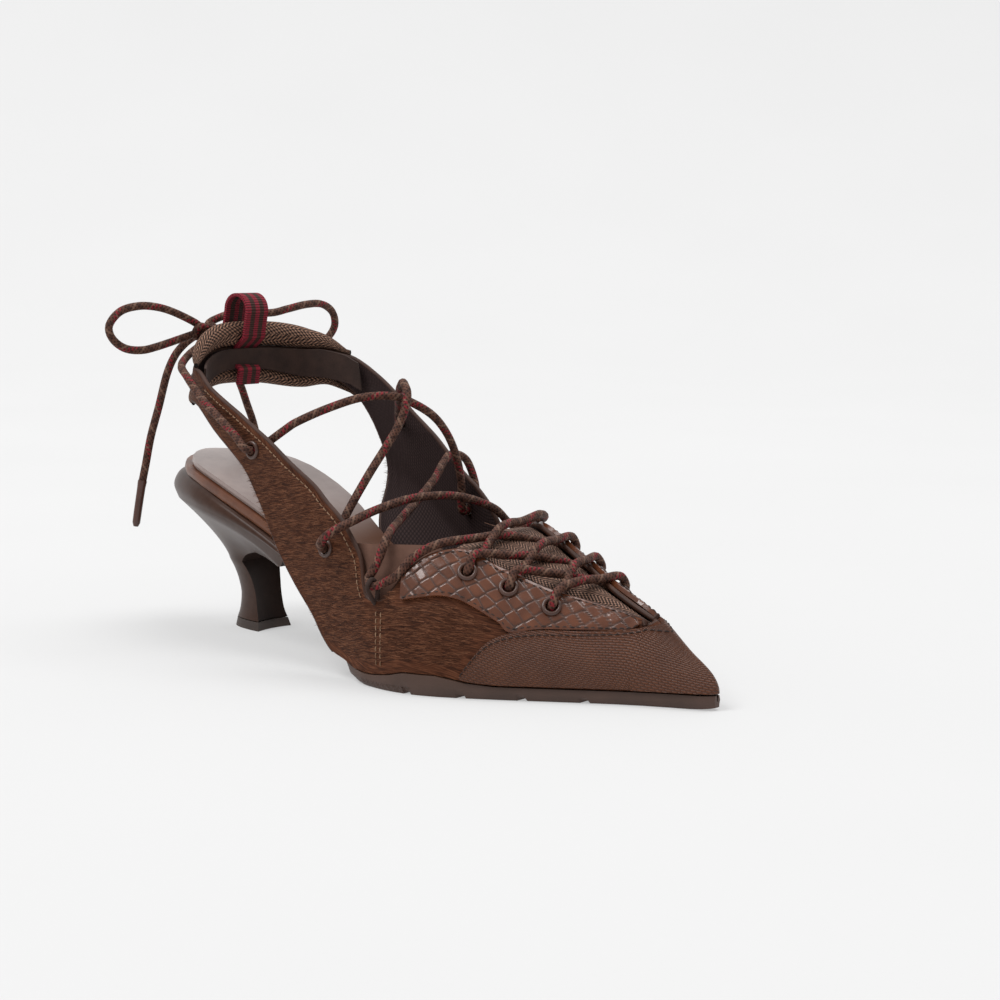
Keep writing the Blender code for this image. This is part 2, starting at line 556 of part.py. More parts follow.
def make_toe_cap():
    """Cap from the sole's edge up to its curved seam, round the toe."""
    fans = [i / FAN_STEPS for i in range(1, FAN_STEPS + 1)]
    sides = {}
    for side in (LATERAL, MEDIAL):
        lines = [fan_column(side, s, CAP_START, mix(CAP_NOSE_END, CAP_SIDE_END, s)) for s in fans]
        for i, row in enumerate(CAP_SEAM[side], start=1):
            low_back = mix(EDGES[side][0].low_back, row.back - 0.8, ease(i / len(CAP_SEAM[side])) ** 0.5)
            low_back = min(low_back, row.back - 0.8)
            lines.append(panel_line(side, low_back, wall_base(low_back) + CAP_LIFT, row.back, row.up))
        sides[side] = lines
    nose = fan_column(LATERAL, 0.0, CAP_START, CAP_NOSE_END)
    overlay("toe_cap", sides[LATERAL][::-1] + [nose] + sides[MEDIAL], "cap", 0.55)


def make_eyestay(name, side):
    """Panel along the throat that carries the eyelets."""
    rows = [row for row in EDGES[side] if row.low_up is None]
    top = monotone([r.top_back for r in rows], [r.top_up for r in rows])
    lines = []
    for row in STAY_LOWER[side]:
        top_back = row.back + 2.0
        top_up = max(top(top_back) - STAY_EDGE_MARGIN, row.up + 1.5)
        lines.append(panel_line(side, row.back, row.up, top_back, top_up))
    overlay(name, lines[::-1] if side == LATERAL else lines, "croc", 0.25)


def make_tongue():
    """Mesh strip under the throat, a little way under both of its edges."""
    lines = []
    for i in range(TONGUE_STATIONS):
        back = mix(TONGUE_END, TONGUE_START, i / (TONGUE_STATIONS - 1))
        edge, under = {}, {}
        for side in (LATERAL, MEDIAL):
            up = min(throat_edge[side](back), wall_ridge(back) - 1.0)
            for row, drop in ((edge, 0.0), (under, TONGUE_LAP)):
                spot = wall_at_height(side, back, up - drop)
                row[side] = spot - wall_normal(side, back, up - drop) * TONGUE_DEPTH
        line = [under[LATERAL], edge[LATERAL]]
        for s in (0.25, 0.5, 0.75):
            crown = TONGUE_CROWN * math.sin(s * math.pi)
            line.append(edge[LATERAL].lerp(edge[MEDIAL], s) + Vector((0, 0, crown)))
        lines.append(line + [edge[MEDIAL], under[MEDIAL]])
    inner = offset_grid(lines, -TONGUE_THICKNESS, closed=False)
    finish("tongue", *shell(lines, inner, closed=False), "mesh", 0.8)


def sole_stations():
    """Where the outsole is cut: evenly, at each groove of the tread and at each rib of the side."""
    marks = [0.0, 1.5, 4.0, 8.0, 14.0, 22.0, 30.0, 47.0, 63.0, 80.0, 85.0, 114.0, 119.0, 124.0]
    marks += [RAND_START - GAP, RAND_START - GAP + 0.05, 136.0, 144.0, 153.0, 160.0, HEEL_START - GAP]
    for groove in GROOVES:
        half = GROOVE_WIDTH / 2
        marks += [groove - half - 0.3, groove - half, groove + half, groove + half + 0.3]
    ribs = int((RIB_END - RIB_START) / RIB_PITCH * 2)
    marks += [RIB_START + 2.0 + i * RIB_PITCH / 2 for i in range(ribs)]
    return sorted(marks)


def sole_section(back):
    """Section of the outsole: tread, side wall with its step, lip and the bed inside the lip."""
    in_groove = any(abs(back - g) <= GROOVE_WIDTH / 2 + 0.01 for g in GROOVES)
    under = sole_under(back) + (GROOVE_DEPTH if in_groove else 0.0)
    edge = sole_edge(back)
    rib_phase = (back - RIB_START - 2.0) / (RIB_PITCH / 2)
    ribbed = RIB_START < back < RIB_END and round(rib_phase) % 2 == 0
    rib = RIB_DEPTH if ribbed else 0.0
    bed = sock_top(back) - SOCK_THICKNESS - GAP if back < RAND_START - GAP + 0.01 else edge
    ring = []
    for side in (LATERAL, MEDIAL):
        out = sole_side[side](back)
        half = abs(out - wall_spine(back))
        lip = min(LIP_WIDTH, 0.7 * half)
        chamfer = min(1.6, 0.35 * half)
        profile = [
            (out - side * chamfer, under),
            (out - side * (0.3 + rib) * min(1.0, half), mix(under, edge, 0.3)),
            (out, mix(under, edge, 0.62)),
            (out - side * min(0.5, 0.3 * half), edge),
            (out - side * lip, edge),
            (out - side * (lip + 0.25 * min(1.0, half)), bed),
        ]
        ring.append([place(back, across, up) for across, up in profile])
    return ring[0] + ring[1][::-1]


def make_outsole():
    finish("outsole", *loft([sole_section(t) for t in sole_stations()]), "rubber", 0.6)


def slab_section(back, inset, low, top):
    """Section of a flat layer of the footbed."""
    ring = []
    for side in (LATERAL, MEDIAL):
        out = sole_side[side](back) - side * inset[side]
        ring.append([place(back, out - side * 0.4, low), place(back, out, mix(low, top, 0.5)),
                     place(back, out - side * 0.5, top)])
    return ring[0] + ring[1][::-1]


def layer_stations(start, end, step, tail):
    """Even stations with closer ones towards the round back end."""
    count = int((end - tail - start) / step)
    even = [mix(start, end - tail, i / count) for i in range(count + 1)]
    return even + [end - tail * (1 - math.sin(a * math.pi / 10)) for a in range(1, 6)]


def closing_inset(back, end, inset):
    """Inset that grows so that a layer ends in its own round back."""
    reach = 22.0
    s = min(max((back - (end - reach)) / reach, 0.0), 1.0)
    half = (sole_side[MEDIAL](back) - sole_side[LATERAL](back)) / 2
    round_half = math.sqrt(max(1 - s * s, 0.0)) * (half - inset)
    return half - max(round_half, 1.0)


def make_insole():
    rings = []
    for back in layer_stations(SOCK_START, SOCK_END, 8.0, 20.0):
        inset = SOCK_INSET if back < 200 else closing_inset(back, SOCK_END, SOCK_INSET)
        top = sock_top(back)
        rings.append(slab_section(back, {LATERAL: inset, MEDIAL: inset}, top - SOCK_THICKNESS, top))
    finish("insole", *loft(rings), "sock", 0.35)


def make_rand():
    rings = []
    for back in layer_stations(RAND_START, RAND_END, 7.0, 20.0):
        inset = closing_inset(back, RAND_END, RAND_INSET) if back > 200 else RAND_INSET
        behind_wall = mix(RAND_WALL_INSET, inset, ease((back - RAND_WALL_END) / 14.0))
        low, top = sole_edge(back) + GAP, sock_top(back) - SOCK_THICKNESS - GAP
        rings.append(slab_section(back, {LATERAL: inset, MEDIAL: behind_wall}, low, top))
    finish("rand", *loft(rings), "leather", 0.5)


def ring_of(front_back, side_point):
    """Ring with a straight front edge and a curved side on each hand."""
    ring = []
    corner = {side: side_point(side, 0.0) for side in (LATERAL, MEDIAL)}
    middle = (corner[LATERAL] + corner[MEDIAL]) / 2
    ring += [middle.lerp(corner[LATERAL], i / RING_FRONT) for i in range(RING_FRONT)]
    ring += [side_point(LATERAL, i / RING_SIDE) for i in range(RING_SIDE)]
    ring.append((side_point(LATERAL, 1.0) + side_point(MEDIAL, 1.0)) / 2)
    ring += [side_point(MEDIAL, i / RING_SIDE) for i in reversed(range(RING_SIDE))]
    ring += [middle.lerp(corner[MEDIAL], i / RING_FRONT) for i in reversed(range(1, RING_FRONT))]
    for point in ring:
        point.x = min(point.x, -front_back)
    return ring


def column_ring(row):
    """Level section of the heel's column: hollow breast, round back."""
    def side_point(side, s):
        turn = s * math.pi / 2
        back = mix(row.front, row.rear, math.sin(turn) ** 1.15)
        across = HEEL_CENTRE + side * row.half * math.cos(turn) ** 0.8
        return place(back, across, row.up)
    ring = ring_of(row.front, side_point)
    for i in list(range(RING_FRONT)) + list(range(1 - RING_FRONT, 0)):
        ring[i].x -= BREAST_HOLLOW * (1 - (i / RING_FRONT) ** 2)
    return ring


def rim_ring(height, side_inset, back_inset):
    """Outline of the heel seat at a height that follows the seat."""
    def side_point(side, s):
        end = SHOE_LENGTH - back_inset
        back = mix(HEEL_START, end, math.sin(s * math.pi / 2))
        shrink = (end - HEEL_START) / (SHOE_LENGTH - HEEL_START)
        sample = HEEL_START + (back - HEEL_START) / shrink
        out = sole_side[side](sample)
        middle = (sole_side[LATERAL](sample) + sole_side[MEDIAL](sample)) / 2
        half = max(abs(out - middle) - side_inset * min(1.0, abs(out - middle) / 12.0), 0.2)
        across = middle + side * half if s < 1.0 else middle
        return place(back, across, height(back))
    return ring_of(HEEL_START, side_point)


def make_heel():
    column_rings = [column_ring(row) for row in HEEL_COLUMN]
    low_rim = rim_ring(sole_under, 0.8, 1.6)
    flare = []
    for row in FLARE:
        spread = row.rise ** FLARE_POWER
        ring = []
        for a, b in zip(column_rings[-1], low_rim):
            front = 1 - (-b.x - HEEL_START) / (SHOE_LENGTH - HEEL_START)
            up = mix(a.z, b.z, row.rise) + row.arch * front ** 3
            ring.append(Vector((mix(a.x, b.x, spread), mix(a.y, b.y, spread), up)))
        flare.append(ring)
    mid_rim = rim_ring(lambda back: mix(sole_under(back), sole_edge(back), 0.4), 0.0, 0.0)
    high_rim = rim_ring(lambda back: mix(sole_under(back), sole_edge(back), 0.8), 0.5, 2.6)
    top_rim = rim_ring(sole_edge, RIM_TOP_INSET_SIDE, RIM_TOP_INSET_BACK)
    rings = column_rings + flare + [low_rim, mid_rim, high_rim, top_rim]
    finish("heel", *loft(rings, ladder_top=True), "heel", 0.25)
    tip = HEEL_COLUMN[0]
    foot = [HeelRow(up, tip.rear + grow, tip.front - grow, tip.half + grow)
            for up, grow in ((0.0, 0.9), (HEEL_TIP, 0.1))]
    finish("heel_top_piece", *loft([column_ring(row) for row in foot]), "heel", 0.6)


def turned_ring(name, centre, axis, outer, hole, height, colour):
    """Round eyelet on a face, with a rounded crown."""
    steps, profile = 14, [(hole, 0.0), (hole, 0.7), (mix(hole, outer, 0.5), 1.0), (outer, 0.35), (outer, 0.0)]
    frame = axis.to_track_quat("Z", "X")
    rings = []
    for k in range(steps):
        turn = 2 * math.pi * k / steps
        rings.append([centre + frame @ Vector((r * math.cos(turn), r * math.sin(turn), h * height))
                      for r, h in profile])
    count = len(profile)
    points = [p for ring in rings for p in ring]
    faces = []
    for k in range(steps):
        for i in range(count):
            j = (i + 1) % count
            a, b = k * count, ((k + 1) % steps) * count
            faces.append((a + i, b + i, b + j, a + j))
    finish(name, points, faces, colour, 0.4)


def wall_normal(side, back, up):
    along = wall_at_height(side, back - 1.0, up) - wall_at_height(side, back + 1.0, up)
    rise = wall_at_height(side, back, up + 1.0) - wall_at_height(side, back, up - 1.0)
    return (along.cross(rise) * -side).normalized()


def on_wall(row, lift):
    return wall_at_height(row.side, row.back, row.up) + wall_normal(row.side, row.back, row.up) * lift


def make_eyelets():
    for row in STAY_EYELETS + QUARTER_EYELETS:
        seat = OVERLAY_GAP + OVERLAY_THICKNESS + GAP if row in STAY_EYELETS else GAP
        axis = wall_normal(row.side, row.back, row.up)
        turned_ring(row.name, on_wall(row, seat), axis, EYELET_OUTER, EYELET_HOLE, EYELET_HEIGHT, "eyelet")


def smooth_route(knots, spacing):
    """Evenly spaced points on a smooth curve through a route's own points."""
    ends = [knots[0] * 2 - knots[1]] + knots + [knots[-1] * 2 - knots[-2]]
    dense = []
    for a, b, c, d in zip(ends, ends[1:], ends[2:], ends[3:]):
        for k in range(16):
            s = k / 16
            dense.append(0.5 * ((2 * b) + (c - a) * s + (2 * a - 5 * b + 4 * c - d) * s * s
                                + (3 * b - a - 3 * c + d) * s ** 3))
    dense.append(knots[-1])
    travelled = [0.0]
    for a, b in zip(dense, dense[1:]):
        travelled.append(travelled[-1] + (b - a).length)
    count = max(int(travelled[-1] / spacing), 2)
    route, at = [], 0
    for k in range(count + 1):
        goal = travelled[-1] * k / count
        while at < len(dense) - 2 and travelled[at + 1] < goal:
            at += 1
        span = max(travelled[at + 1] - travelled[at], 1e-9)
        route.append(dense[at].lerp(dense[at + 1], min((goal - travelled[at]) / span, 1.0)))
    return route


def cord(name, knots, radius=LACE_RADIUS, colour="lace", spacing=7.0):
    """Round cord along a route; with no spacing it bends at the route's own points."""
    points = [p * MM for p in (smooth_route(knots, spacing) if spacing else knots)]
    curve = bpy.data.curves.new(name, "CURVE")
    curve.dimensions = "3D"
    curve.bevel_depth = radius * MM
    curve.bevel_resolution = 2
    curve.use_fill_caps = True
    spline = curve.splines.new("POLY")
    spline.points.add(len(points) - 1)
    for target, point in zip(spline.points, points):
        target.co = (*point, 1.0)
    piece = bpy.data.objects.new(name, curve)
    bpy.context.collection.objects.link(piece)
    curve.materials.append(finish_material(name, colour, 0.75))
    return piece


def strand(a, b, rise):
    """Points of a strand between two turns, over or under the strand that crosses it."""
    points = []
    for s in STRAND_STEPS:
        spot = a.lerp(b, s)
        back = -spot.x
        edges = {side: throat_edge[side](back) for side in (LATERAL, MEDIAL)}
        if s == 0.5:
            up = (edges[LATERAL] + edges[MEDIAL]) / 2 + rise
        else:
            side = LATERAL if spot.y < wall_spine(back) else MEDIAL
            up = min(surface_up(back, spot.y), edges[side]) + STRAND_SIDE
        points.append(place(back, spot.y, up))
    return points


def lace_turn(row, lift, heading):
    """Half turn of the lace over an eyelet; heading is +1 towards the heel and -1 towards the toe."""
    centre = on_wall(row, lift)
    normal = wall_normal(row.side, row.back, row.up)
    along = wall_at_height(row.side, row.back + 1.0, row.up) - wall_at_height(row.side, row.back - 1.0, row.up)
    along = along.normalized() * heading
    down = normal.cross(along)
    down *= -1 if down.z > 0 else 1
    turns = [math.pi * k / 3 for k in range(4)]
    return [centre + (along * -math.cos(a) + down * math.sin(a)) * LACE_TURN for a in turns]


def eyelet(side, number):
    word = "lateral" if side == LATERAL else "medial"
    return next(row for row in STAY_EYELETS + QUARTER_EYELETS if row.name == f"eyelet_{word}_{number}")


def lay_strands(turns, rise):
    """Turns joined by strands."""
    knots = list(turns[0])
    for before, after in zip(turns, turns[1:]):
        knots += strand(before[-1], after[0], rise) + after
    return knots


def make_lace_crossings():
    """Lace over the throat as one cord: down under the other strands and back over them."""
    spots = {side: [place(*spot) for spot in NOTCH_TURN[side]] for side in NOTCH_TURN}
    down = [spots[LATERAL], lace_turn(eyelet(MEDIAL, 1), STAY_LIFT, -1),
            lace_turn(eyelet(LATERAL, 2), STAY_LIFT, -1), lace_turn(eyelet(MEDIAL, 3), STAY_LIFT, -1)]
    back = [lace_turn(eyelet(LATERAL, 3), STAY_LIFT, 1), lace_turn(eyelet(MEDIAL, 2), STAY_LIFT, 1),
            lace_turn(eyelet(LATERAL, 1), STAY_LIFT, 1), spots[MEDIAL]]
    knots = [on_wall(eyelet(MEDIAL, "mid"), QUARTER_LIFT)] + [place(*spot) for spot in TO_MEDIAL_MID[::-1]]
    knots += lay_strands(down, LOWER_STRAND)
    knots += strand(down[-1][-1], back[0][0], LOWER_STRAND)
    knots += lay_strands(back, UPPER_STRAND)
    knots += [place(*spot) for spot in TO_LATERAL_MID] + [on_wall(eyelet(LATERAL, "mid"), QUARTER_LIFT)]
    cord("lace_crossings", knots, spacing=None)


def make_lace_runs():
    for name, route in {**INSTEP, **LOOSE_LACE}.items():
        cord(name, [place(*spot) for spot in route])
    for side, word in ((LATERAL, "lateral"), (MEDIAL, "medial")):
        run = [EyeletRow("run", side, row.back, row.up) for row in STRAP_RUN[side]]
        knots = [on_wall(eyelet(side, "upper"), QUARTER_LIFT)] + [on_wall(row, STRAP_LIFT) for row in run]
        cord(f"lace_strap_{word}", knots + [place(*spot) for spot in STRAP_END[side]])
    for name, route in AGLETS.items():
        cord(name, [place(*spot) for spot in route], AGLET_RADIUS)


def make_lace_knot():
    """Tight knot of the bow as one rounded lump."""
    rings, steps = [], 10
    for level in range(1, 8):
        tilt = math.pi * level / 8 - math.pi / 2
        ring = []
        for k in range(steps):
            turn = 2 * math.pi * k / steps
            ring.append(place(*KNOT_SPOT) + Vector((KNOT_SIZE[0] * math.cos(tilt) * math.cos(turn),
                                                    KNOT_SIZE[1] * math.cos(tilt) * math.sin(turn),
                                                    KNOT_SIZE[2] * math.sin(tilt))))
        rings.append(ring)
    finish("lace_knot", *loft(rings), "lace", 0.75)


def make_lace_loop(name, side):
    """Small cord loop in the notch between eyestay and quarter."""
    notch = min((row for row in EDGES[side] if 100.0 < row.top_back < 112.0), key=lambda row: row.top_up)
    knots = []
    for shift, rise in LOOP_OUTLINE:
        row = EyeletRow(name, side, notch.top_back + shift, notch.top_up + rise)
        knots.append(on_wall(row, LOOP_STAND))
    cord(name, knots, LACE_LOOP_RADIUS, spacing=2.5)


def make_heel_roll(row):
    """Padded roll along an edge of the sling's back band, thinning out at its ends."""
    stops = [(LATERAL, a) for a in BACK_ANGLES] + [(LATERAL, 90)] + [(MEDIAL, a) for a in BACK_ANGLES[::-1]]
    edges = [back_column(side, angle)[-1 if row.direction > 0 else 0] for side, angle in stops]
    rings = []
    for k, edge in enumerate(edges):
        along = edges[min(k + 1, len(edges) - 1)] - edges[max(k - 1, 0)]
        inward = along.cross(Vector((0, 0, -1))).normalized()
        inward *= 1 if inward.x > 0 else -1
        taper = max((1 - abs(2 * k / (len(edges) - 1) - 1) ** 5) ** 0.5, 0.4)
        thick, high = row.half_thick * taper, row.half_high * taper
        lift = row.direction * (ROLL_GAP + high)
        centre = edge + inward * (WALL_THICKNESS / 2) + Vector((SLING_LEAN * lift, 0, lift))
        turns = [2 * math.pi * i / ROLL_STEPS for i in range(ROLL_STEPS)]
        rings.append([centre + inward * (thick * math.cos(a)) + Vector((0, 0, high * math.sin(a)))
                      for a in turns])
    finish(row.name, *loft(rings), "mesh", 0.85)


def make_pull_loop():
    """Webbing that stands over the back of the heel tab as a loop."""
    def leg(side, up):
        middle = SLING_BACK - WALL_THICKNESS / 2 - SLING_LEAN * max(up - SLING_LEAN_FROM, 0.0)
        return place(middle + side * LOOP_REACH, LOOP_ACROSS, up)
    crown = LOOP_TOP - LOOP_REACH
    path = [leg(-1, mix(LOOP_INNER_END, crown, i / 5)) for i in range(6)]
    for i in range(1, 6):
        turn = math.pi * i / 6
        path.append(leg(0, crown) + Vector((LOOP_REACH * math.cos(turn), 0, LOOP_REACH * math.sin(turn))))
    path += [leg(1, mix(crown, LOOP_OUTER_END, i / 3)) for i in range(4)]
    half = Vector((0, LOOP_WIDTH / 2, 0))
    lines = [[p - half, p, p + half] for p in path]
    outer = offset_grid(lines, LOOP_THICKNESS / 2, closed=False)
    inner = offset_grid(lines, -LOOP_THICKNESS / 2, closed=False)
    finish("pull_loop", *shell(outer, inner, closed=False), "webbing", 0.8)


def make_pieces():
    make_outsole()
    make_heel()
    make_rand()
    make_insole()
    make_upper()
    make_toe_cap()
    make_eyestay("eyestay_lateral", LATERAL)
    make_eyestay("eyestay_medial", MEDIAL)
    make_tongue()
    make_eyelets()
    for row in ROLLS:
        make_heel_roll(row)
    make_pull_loop()
    make_lace_loop("lace_loop_lateral", LATERAL)
    make_lace_loop("lace_loop_medial", MEDIAL)
    make_lace_crossings()
    make_lace_runs()
    make_lace_knot()


def centre_on_floor():
    """Put the middle of the shoe's box, without its loose lace, over the origin."""
    bpy.context.view_layer.update()
    scene = bpy.context.evaluated_depsgraph_get()
    corners = []
    for piece in bpy.data.objects:
        if piece.name not in LOOSE:
            mesh = piece.evaluated_get(scene).to_mesh()
            corners += [v.co.copy() for v in mesh.vertices]
    middle = [(min(c[i] for c in corners) + max(c[i] for c in corners)) / 2 for i in (0, 1)]
    for piece in bpy.data.objects:
        piece.location = (-middle[0], -middle[1], 0.0)


def clear_scene():
    for old in list(bpy.data.objects):
        bpy.data.objects.remove(old, do_unlink=True)


clear_scene()
make_pieces()
centre_on_floor()
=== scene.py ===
"""Looks of the right-foot slingback shoe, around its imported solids.

Sizes are in millimetres, in the part's own terms: "back" is the distance behind the toe tip,
"across" runs from the lateral side (negative) to the medial side (positive), "up" is the height.
"""

import math
import random
from collections import namedtuple

import bpy
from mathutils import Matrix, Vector, kdtree


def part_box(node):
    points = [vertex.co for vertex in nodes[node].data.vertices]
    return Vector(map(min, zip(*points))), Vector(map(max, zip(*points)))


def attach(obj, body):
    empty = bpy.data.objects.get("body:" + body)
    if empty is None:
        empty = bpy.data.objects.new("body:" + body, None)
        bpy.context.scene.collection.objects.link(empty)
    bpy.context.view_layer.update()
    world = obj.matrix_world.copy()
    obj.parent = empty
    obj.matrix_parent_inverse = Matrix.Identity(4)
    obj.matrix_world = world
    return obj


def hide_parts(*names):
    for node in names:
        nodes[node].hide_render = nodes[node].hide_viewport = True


MM = 0.001
GAP = 0.3
SHOE_LENGTH = 258.5
LATERAL, MEDIAL = -1, 1

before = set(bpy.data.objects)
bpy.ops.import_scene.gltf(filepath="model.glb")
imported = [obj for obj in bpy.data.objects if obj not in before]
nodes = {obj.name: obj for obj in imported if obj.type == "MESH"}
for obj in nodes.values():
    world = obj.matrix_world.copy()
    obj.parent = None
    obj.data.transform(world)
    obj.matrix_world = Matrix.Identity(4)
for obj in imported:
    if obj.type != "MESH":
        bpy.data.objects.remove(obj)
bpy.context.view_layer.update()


def table(kind, rows):
    return [kind(*row) for row in rows]


# Sole, station by station: outline, underside and edge
SoleRow = namedtuple("SoleRow", "back lateral medial under edge")
SOLE = table(SoleRow, [
    (0.0, 2.2, 5.2, 1.0, 4.8), (3.0, -0.2, 7.2, 0.4, 4.7), (10.0, -2.8, 10.2, 0.0, 4.6),
    (25.0, -9.6, 17.0, 0.0, 4.4), (45.0, -21.5, 25.5, 0.0, 4.3), (62.0, -32.0, 31.0, 0.0, 4.3),
    (72.0, -37.8, 33.8, 0.0, 5.3), (80.0, -42.0, 35.4, 0.0, 7.0), (90.0, -45.2, 36.0, 0.0, 7.0),
    (98.0, -46.0, 35.0, 0.0, 5.4), (108.0, -45.2, 32.2, 0.1, 4.3), (118.0, -41.8, 28.2, 1.2, 5.0),
    (128.0, -35.8, 24.2, 6.6, 10.0), (140.0, -31.4, 20.8, 15.5, 19.3), (152.0, -29.3, 20.2, 25.0, 28.5),
    (166.0, -28.0, 22.6, 35.0, 37.8), (180.0, -28.2, 26.6, 41.0, 44.3), (195.0, -28.0, 29.4, 45.2, 50.2),
    (210.0, -26.4, 30.4, 47.6, 55.2), (225.0, -21.8, 29.0, 48.8, 58.6), (240.0, -14.8, 23.8, 49.4, 60.6),
    (250.0, -7.4, 17.6, 49.6, 61.4), (255.5, 0.2, 11.0, 49.6, 61.8), (258.5, 5.0, 6.4, 49.6, 62.0),
])

# Upper, station by station: where its wall stands and the height its section would close at
WallRow = namedtuple("WallRow", "back lateral medial ridge spine")
WALL = table(WallRow, [
    (1.2, 3.0, 4.6, 9.0, 3.8), (4.0, 1.0, 6.4, 11.4, 3.7), (10.0, -1.8, 9.2, 15.6, 3.3),
    (24.0, -8.0, 15.6, 26.6, 2.4), (45.0, -20.3, 24.3, 35.0, 2.0), (62.0, -30.8, 29.8, 43.5, 1.4),
    (72.0, -36.6, 32.6, 49.0, 0.6), (80.0, -40.8, 34.2, 54.0, 0.0), (90.0, -44.0, 35.0, 61.0, -1.0),
    (98.0, -44.8, 35.3, 70.0, -1.2), (108.0, -44.0, 35.6, 90.0, -1.4), (118.0, -42.4, 35.8, 118.0, -1.5),
    (128.0, -41.0, 35.8, 160.0, -1.5), (140.0, -39.6, 35.6, 230.0, -1.5),
    (152.0, -38.5, 35.5, 500.0, -1.5),
])
WALL_THICKNESS = 1.8
FEATHER_INSET = 1.2
ROUNDNESS = {LATERAL: 1.75, MEDIAL: 2.2}
TOE_ROUNDNESS, TOE_REACH = 1.3, 60.0
TUCK_HEIGHT = 22.0
WALL_BASE = 5.3
WAIST_START = 118.0

# Sling: a squared U in plan that leans forward over the heel
SLING_START, SLING_BACK = 150.0, 222.0
SLING_CENTRE, SLING_HALF = -1.5, 37.0
SLING_POWER = 3.0
SLING_SKEW = 0.1
SLING_LEAN, SLING_LEAN_FROM = 0.22, 95.0
BAND_LOW, BAND_TOP = 101.5, 108.0
BACK_ANGLES = [52, 60, 68, 76, 84]

# Edges of the upper: lower edge and top edge of each column of the wall; None is the sole's edge
EdgeRow = namedtuple("EdgeRow", "low_back low_up top_back top_up")
EDGES = {
    LATERAL: table(EdgeRow, [
        (24.0, None, 27.0, 26.6), (34.0, None, 40.0, 30.0), (45.0, None, 53.0, 33.4),
        (53.0, None, 61.0, 36.4), (60.0, None, 69.0, 39.6), (66.0, None, 75.0, 42.2),
        (71.0, None, 79.0, 44.8), (76.0, None, 84.0, 46.2), (81.0, None, 89.0, 45.6),
        (86.0, None, 93.5, 43.0), (91.0, None, 97.0, 39.0), (95.0, None, 100.0, 33.5),
        (99.0, None, 103.0, 29.5), (103.0, None, 107.0, 28.3), (107.0, None, 111.5, 29.3),
        (110.0, None, 114.0, 34.0), (113.0, None, 116.4, 41.5), (116.0, None, 121.0, 47.5),
        (121.0, 7.0, 127.0, 54.0), (128.0, 9.0, 134.0, 59.0), (133.7, 13.8, 140.0, 64.0),
        (139.0, 20.4, 146.0, 67.8), (147.0, 28.2, 152.0, 71.2), (153.0, 35.0, 158.0, 75.2),
        (158.4, 42.8, 163.0, 78.4), (164.0, 53.2, 168.0, 81.2), (168.4, 60.2, 173.0, 84.0),
        (173.5, 67.4, 178.0, 86.8), (181.0, 73.5, 186.0, 90.6), (192.0, 80.8, 196.0, 95.2),
        (204.0, 88.4, 206.0, 100.0),
    ]),
    MEDIAL: table(EdgeRow, [
        (24.0, None, 27.0, 27.0), (34.0, None, 41.0, 32.6), (45.0, None, 57.0, 38.4),
        (53.0, None, 65.0, 41.4), (60.0, None, 73.0, 44.4), (66.0, None, 79.0, 47.0),
        (71.0, None, 84.0, 48.8), (76.0, None, 88.0, 49.6), (81.0, None, 92.0, 49.0),
        (86.0, None, 96.0, 46.0), (91.0, None, 99.0, 42.0), (95.0, None, 102.0, 38.0),
        (99.0, None, 105.0, 35.6), (103.0, None, 109.0, 35.4), (107.0, None, 112.5, 38.0),
        (111.0, None, 115.0, 43.0), (115.0, None, 118.0, 48.5), (119.0, None, 122.0, 53.5),
        (126.0, None, 128.0, 58.6), (134.0, None, 135.0, 63.5), (142.0, None, 142.0, 69.5),
        (150.0, None, 148.0, 74.6), (158.0, None, 154.0, 79.0), (164.0, 38.6, 160.0, 83.2),
        (168.0, 45.5, 165.0, 87.0), (171.0, 54.5, 170.0, 90.6), (173.0, 62.5, 175.0, 94.2),
        (177.0, 72.5, 181.0, 97.6), (183.0, 82.5, 188.0, 101.2), (191.0, 91.0, 195.0, 104.0),
        (203.0, 97.2, 205.0, 106.2),
    ]),
}
WALL_ROWS = 8
THROAT_POINT = 23.0
THROAT_HALF = 3.4
FAN_STEPS, FAN_SPREAD, FAN_BEND = 5, 1.4, 2.6

# Overlays on the upper
OVERLAY_THICKNESS, OVERLAY_GAP = 0.8, 0.7
PanelRow = namedtuple("PanelRow", "back up")
CAP_SEAM = {
    LATERAL: table(PanelRow, [
        (33.2, 22.7), (44.2, 22.2), (54.2, 22.1), (61.8, 20.8), (66.6, 18.0), (70.0, 12.8), (73.0, 6.9),
    ]),
    MEDIAL: table(PanelRow, [
        (34.0, 23.6), (44.0, 23.6), (54.0, 23.4), (61.5, 21.8), (66.5, 18.6), (70.0, 13.0), (73.0, 7.0),
    ]),
}
STAY_LOWER = {
    LATERAL: table(PanelRow, [
        (30.0, 25.4), (44.0, 24.2), (54.0, 23.8), (61.0, 23.2), (65.0, 24.2), (69.1, 26.5), (74.1, 29.2),
        (78.5, 31.1), (84.1, 31.9), (90.0, 31.0), (96.0, 29.9),
    ]),
    MEDIAL: table(PanelRow, [
        (30.0, 26.8), (44.0, 25.8), (54.0, 25.0), (61.0, 24.6), (65.0, 25.8), (69.5, 28.6), (74.5, 31.6),
        (79.0, 33.6), (84.5, 34.6), (91.0, 34.8), (98.0, 35.6),
    ]),
}
STAY_EDGE_MARGIN = 1.0
CAP_START, CAP_LIFT = 0.03, 0.5

# Tongue under the lacing
TONGUE_START, TONGUE_END, TONGUE_STATIONS = 24.0, 87.0, 12
TONGUE_THICKNESS, TONGUE_DEPTH, TONGUE_CROWN, TONGUE_LAP = 1.2, 2.6, 1.2, 5.0

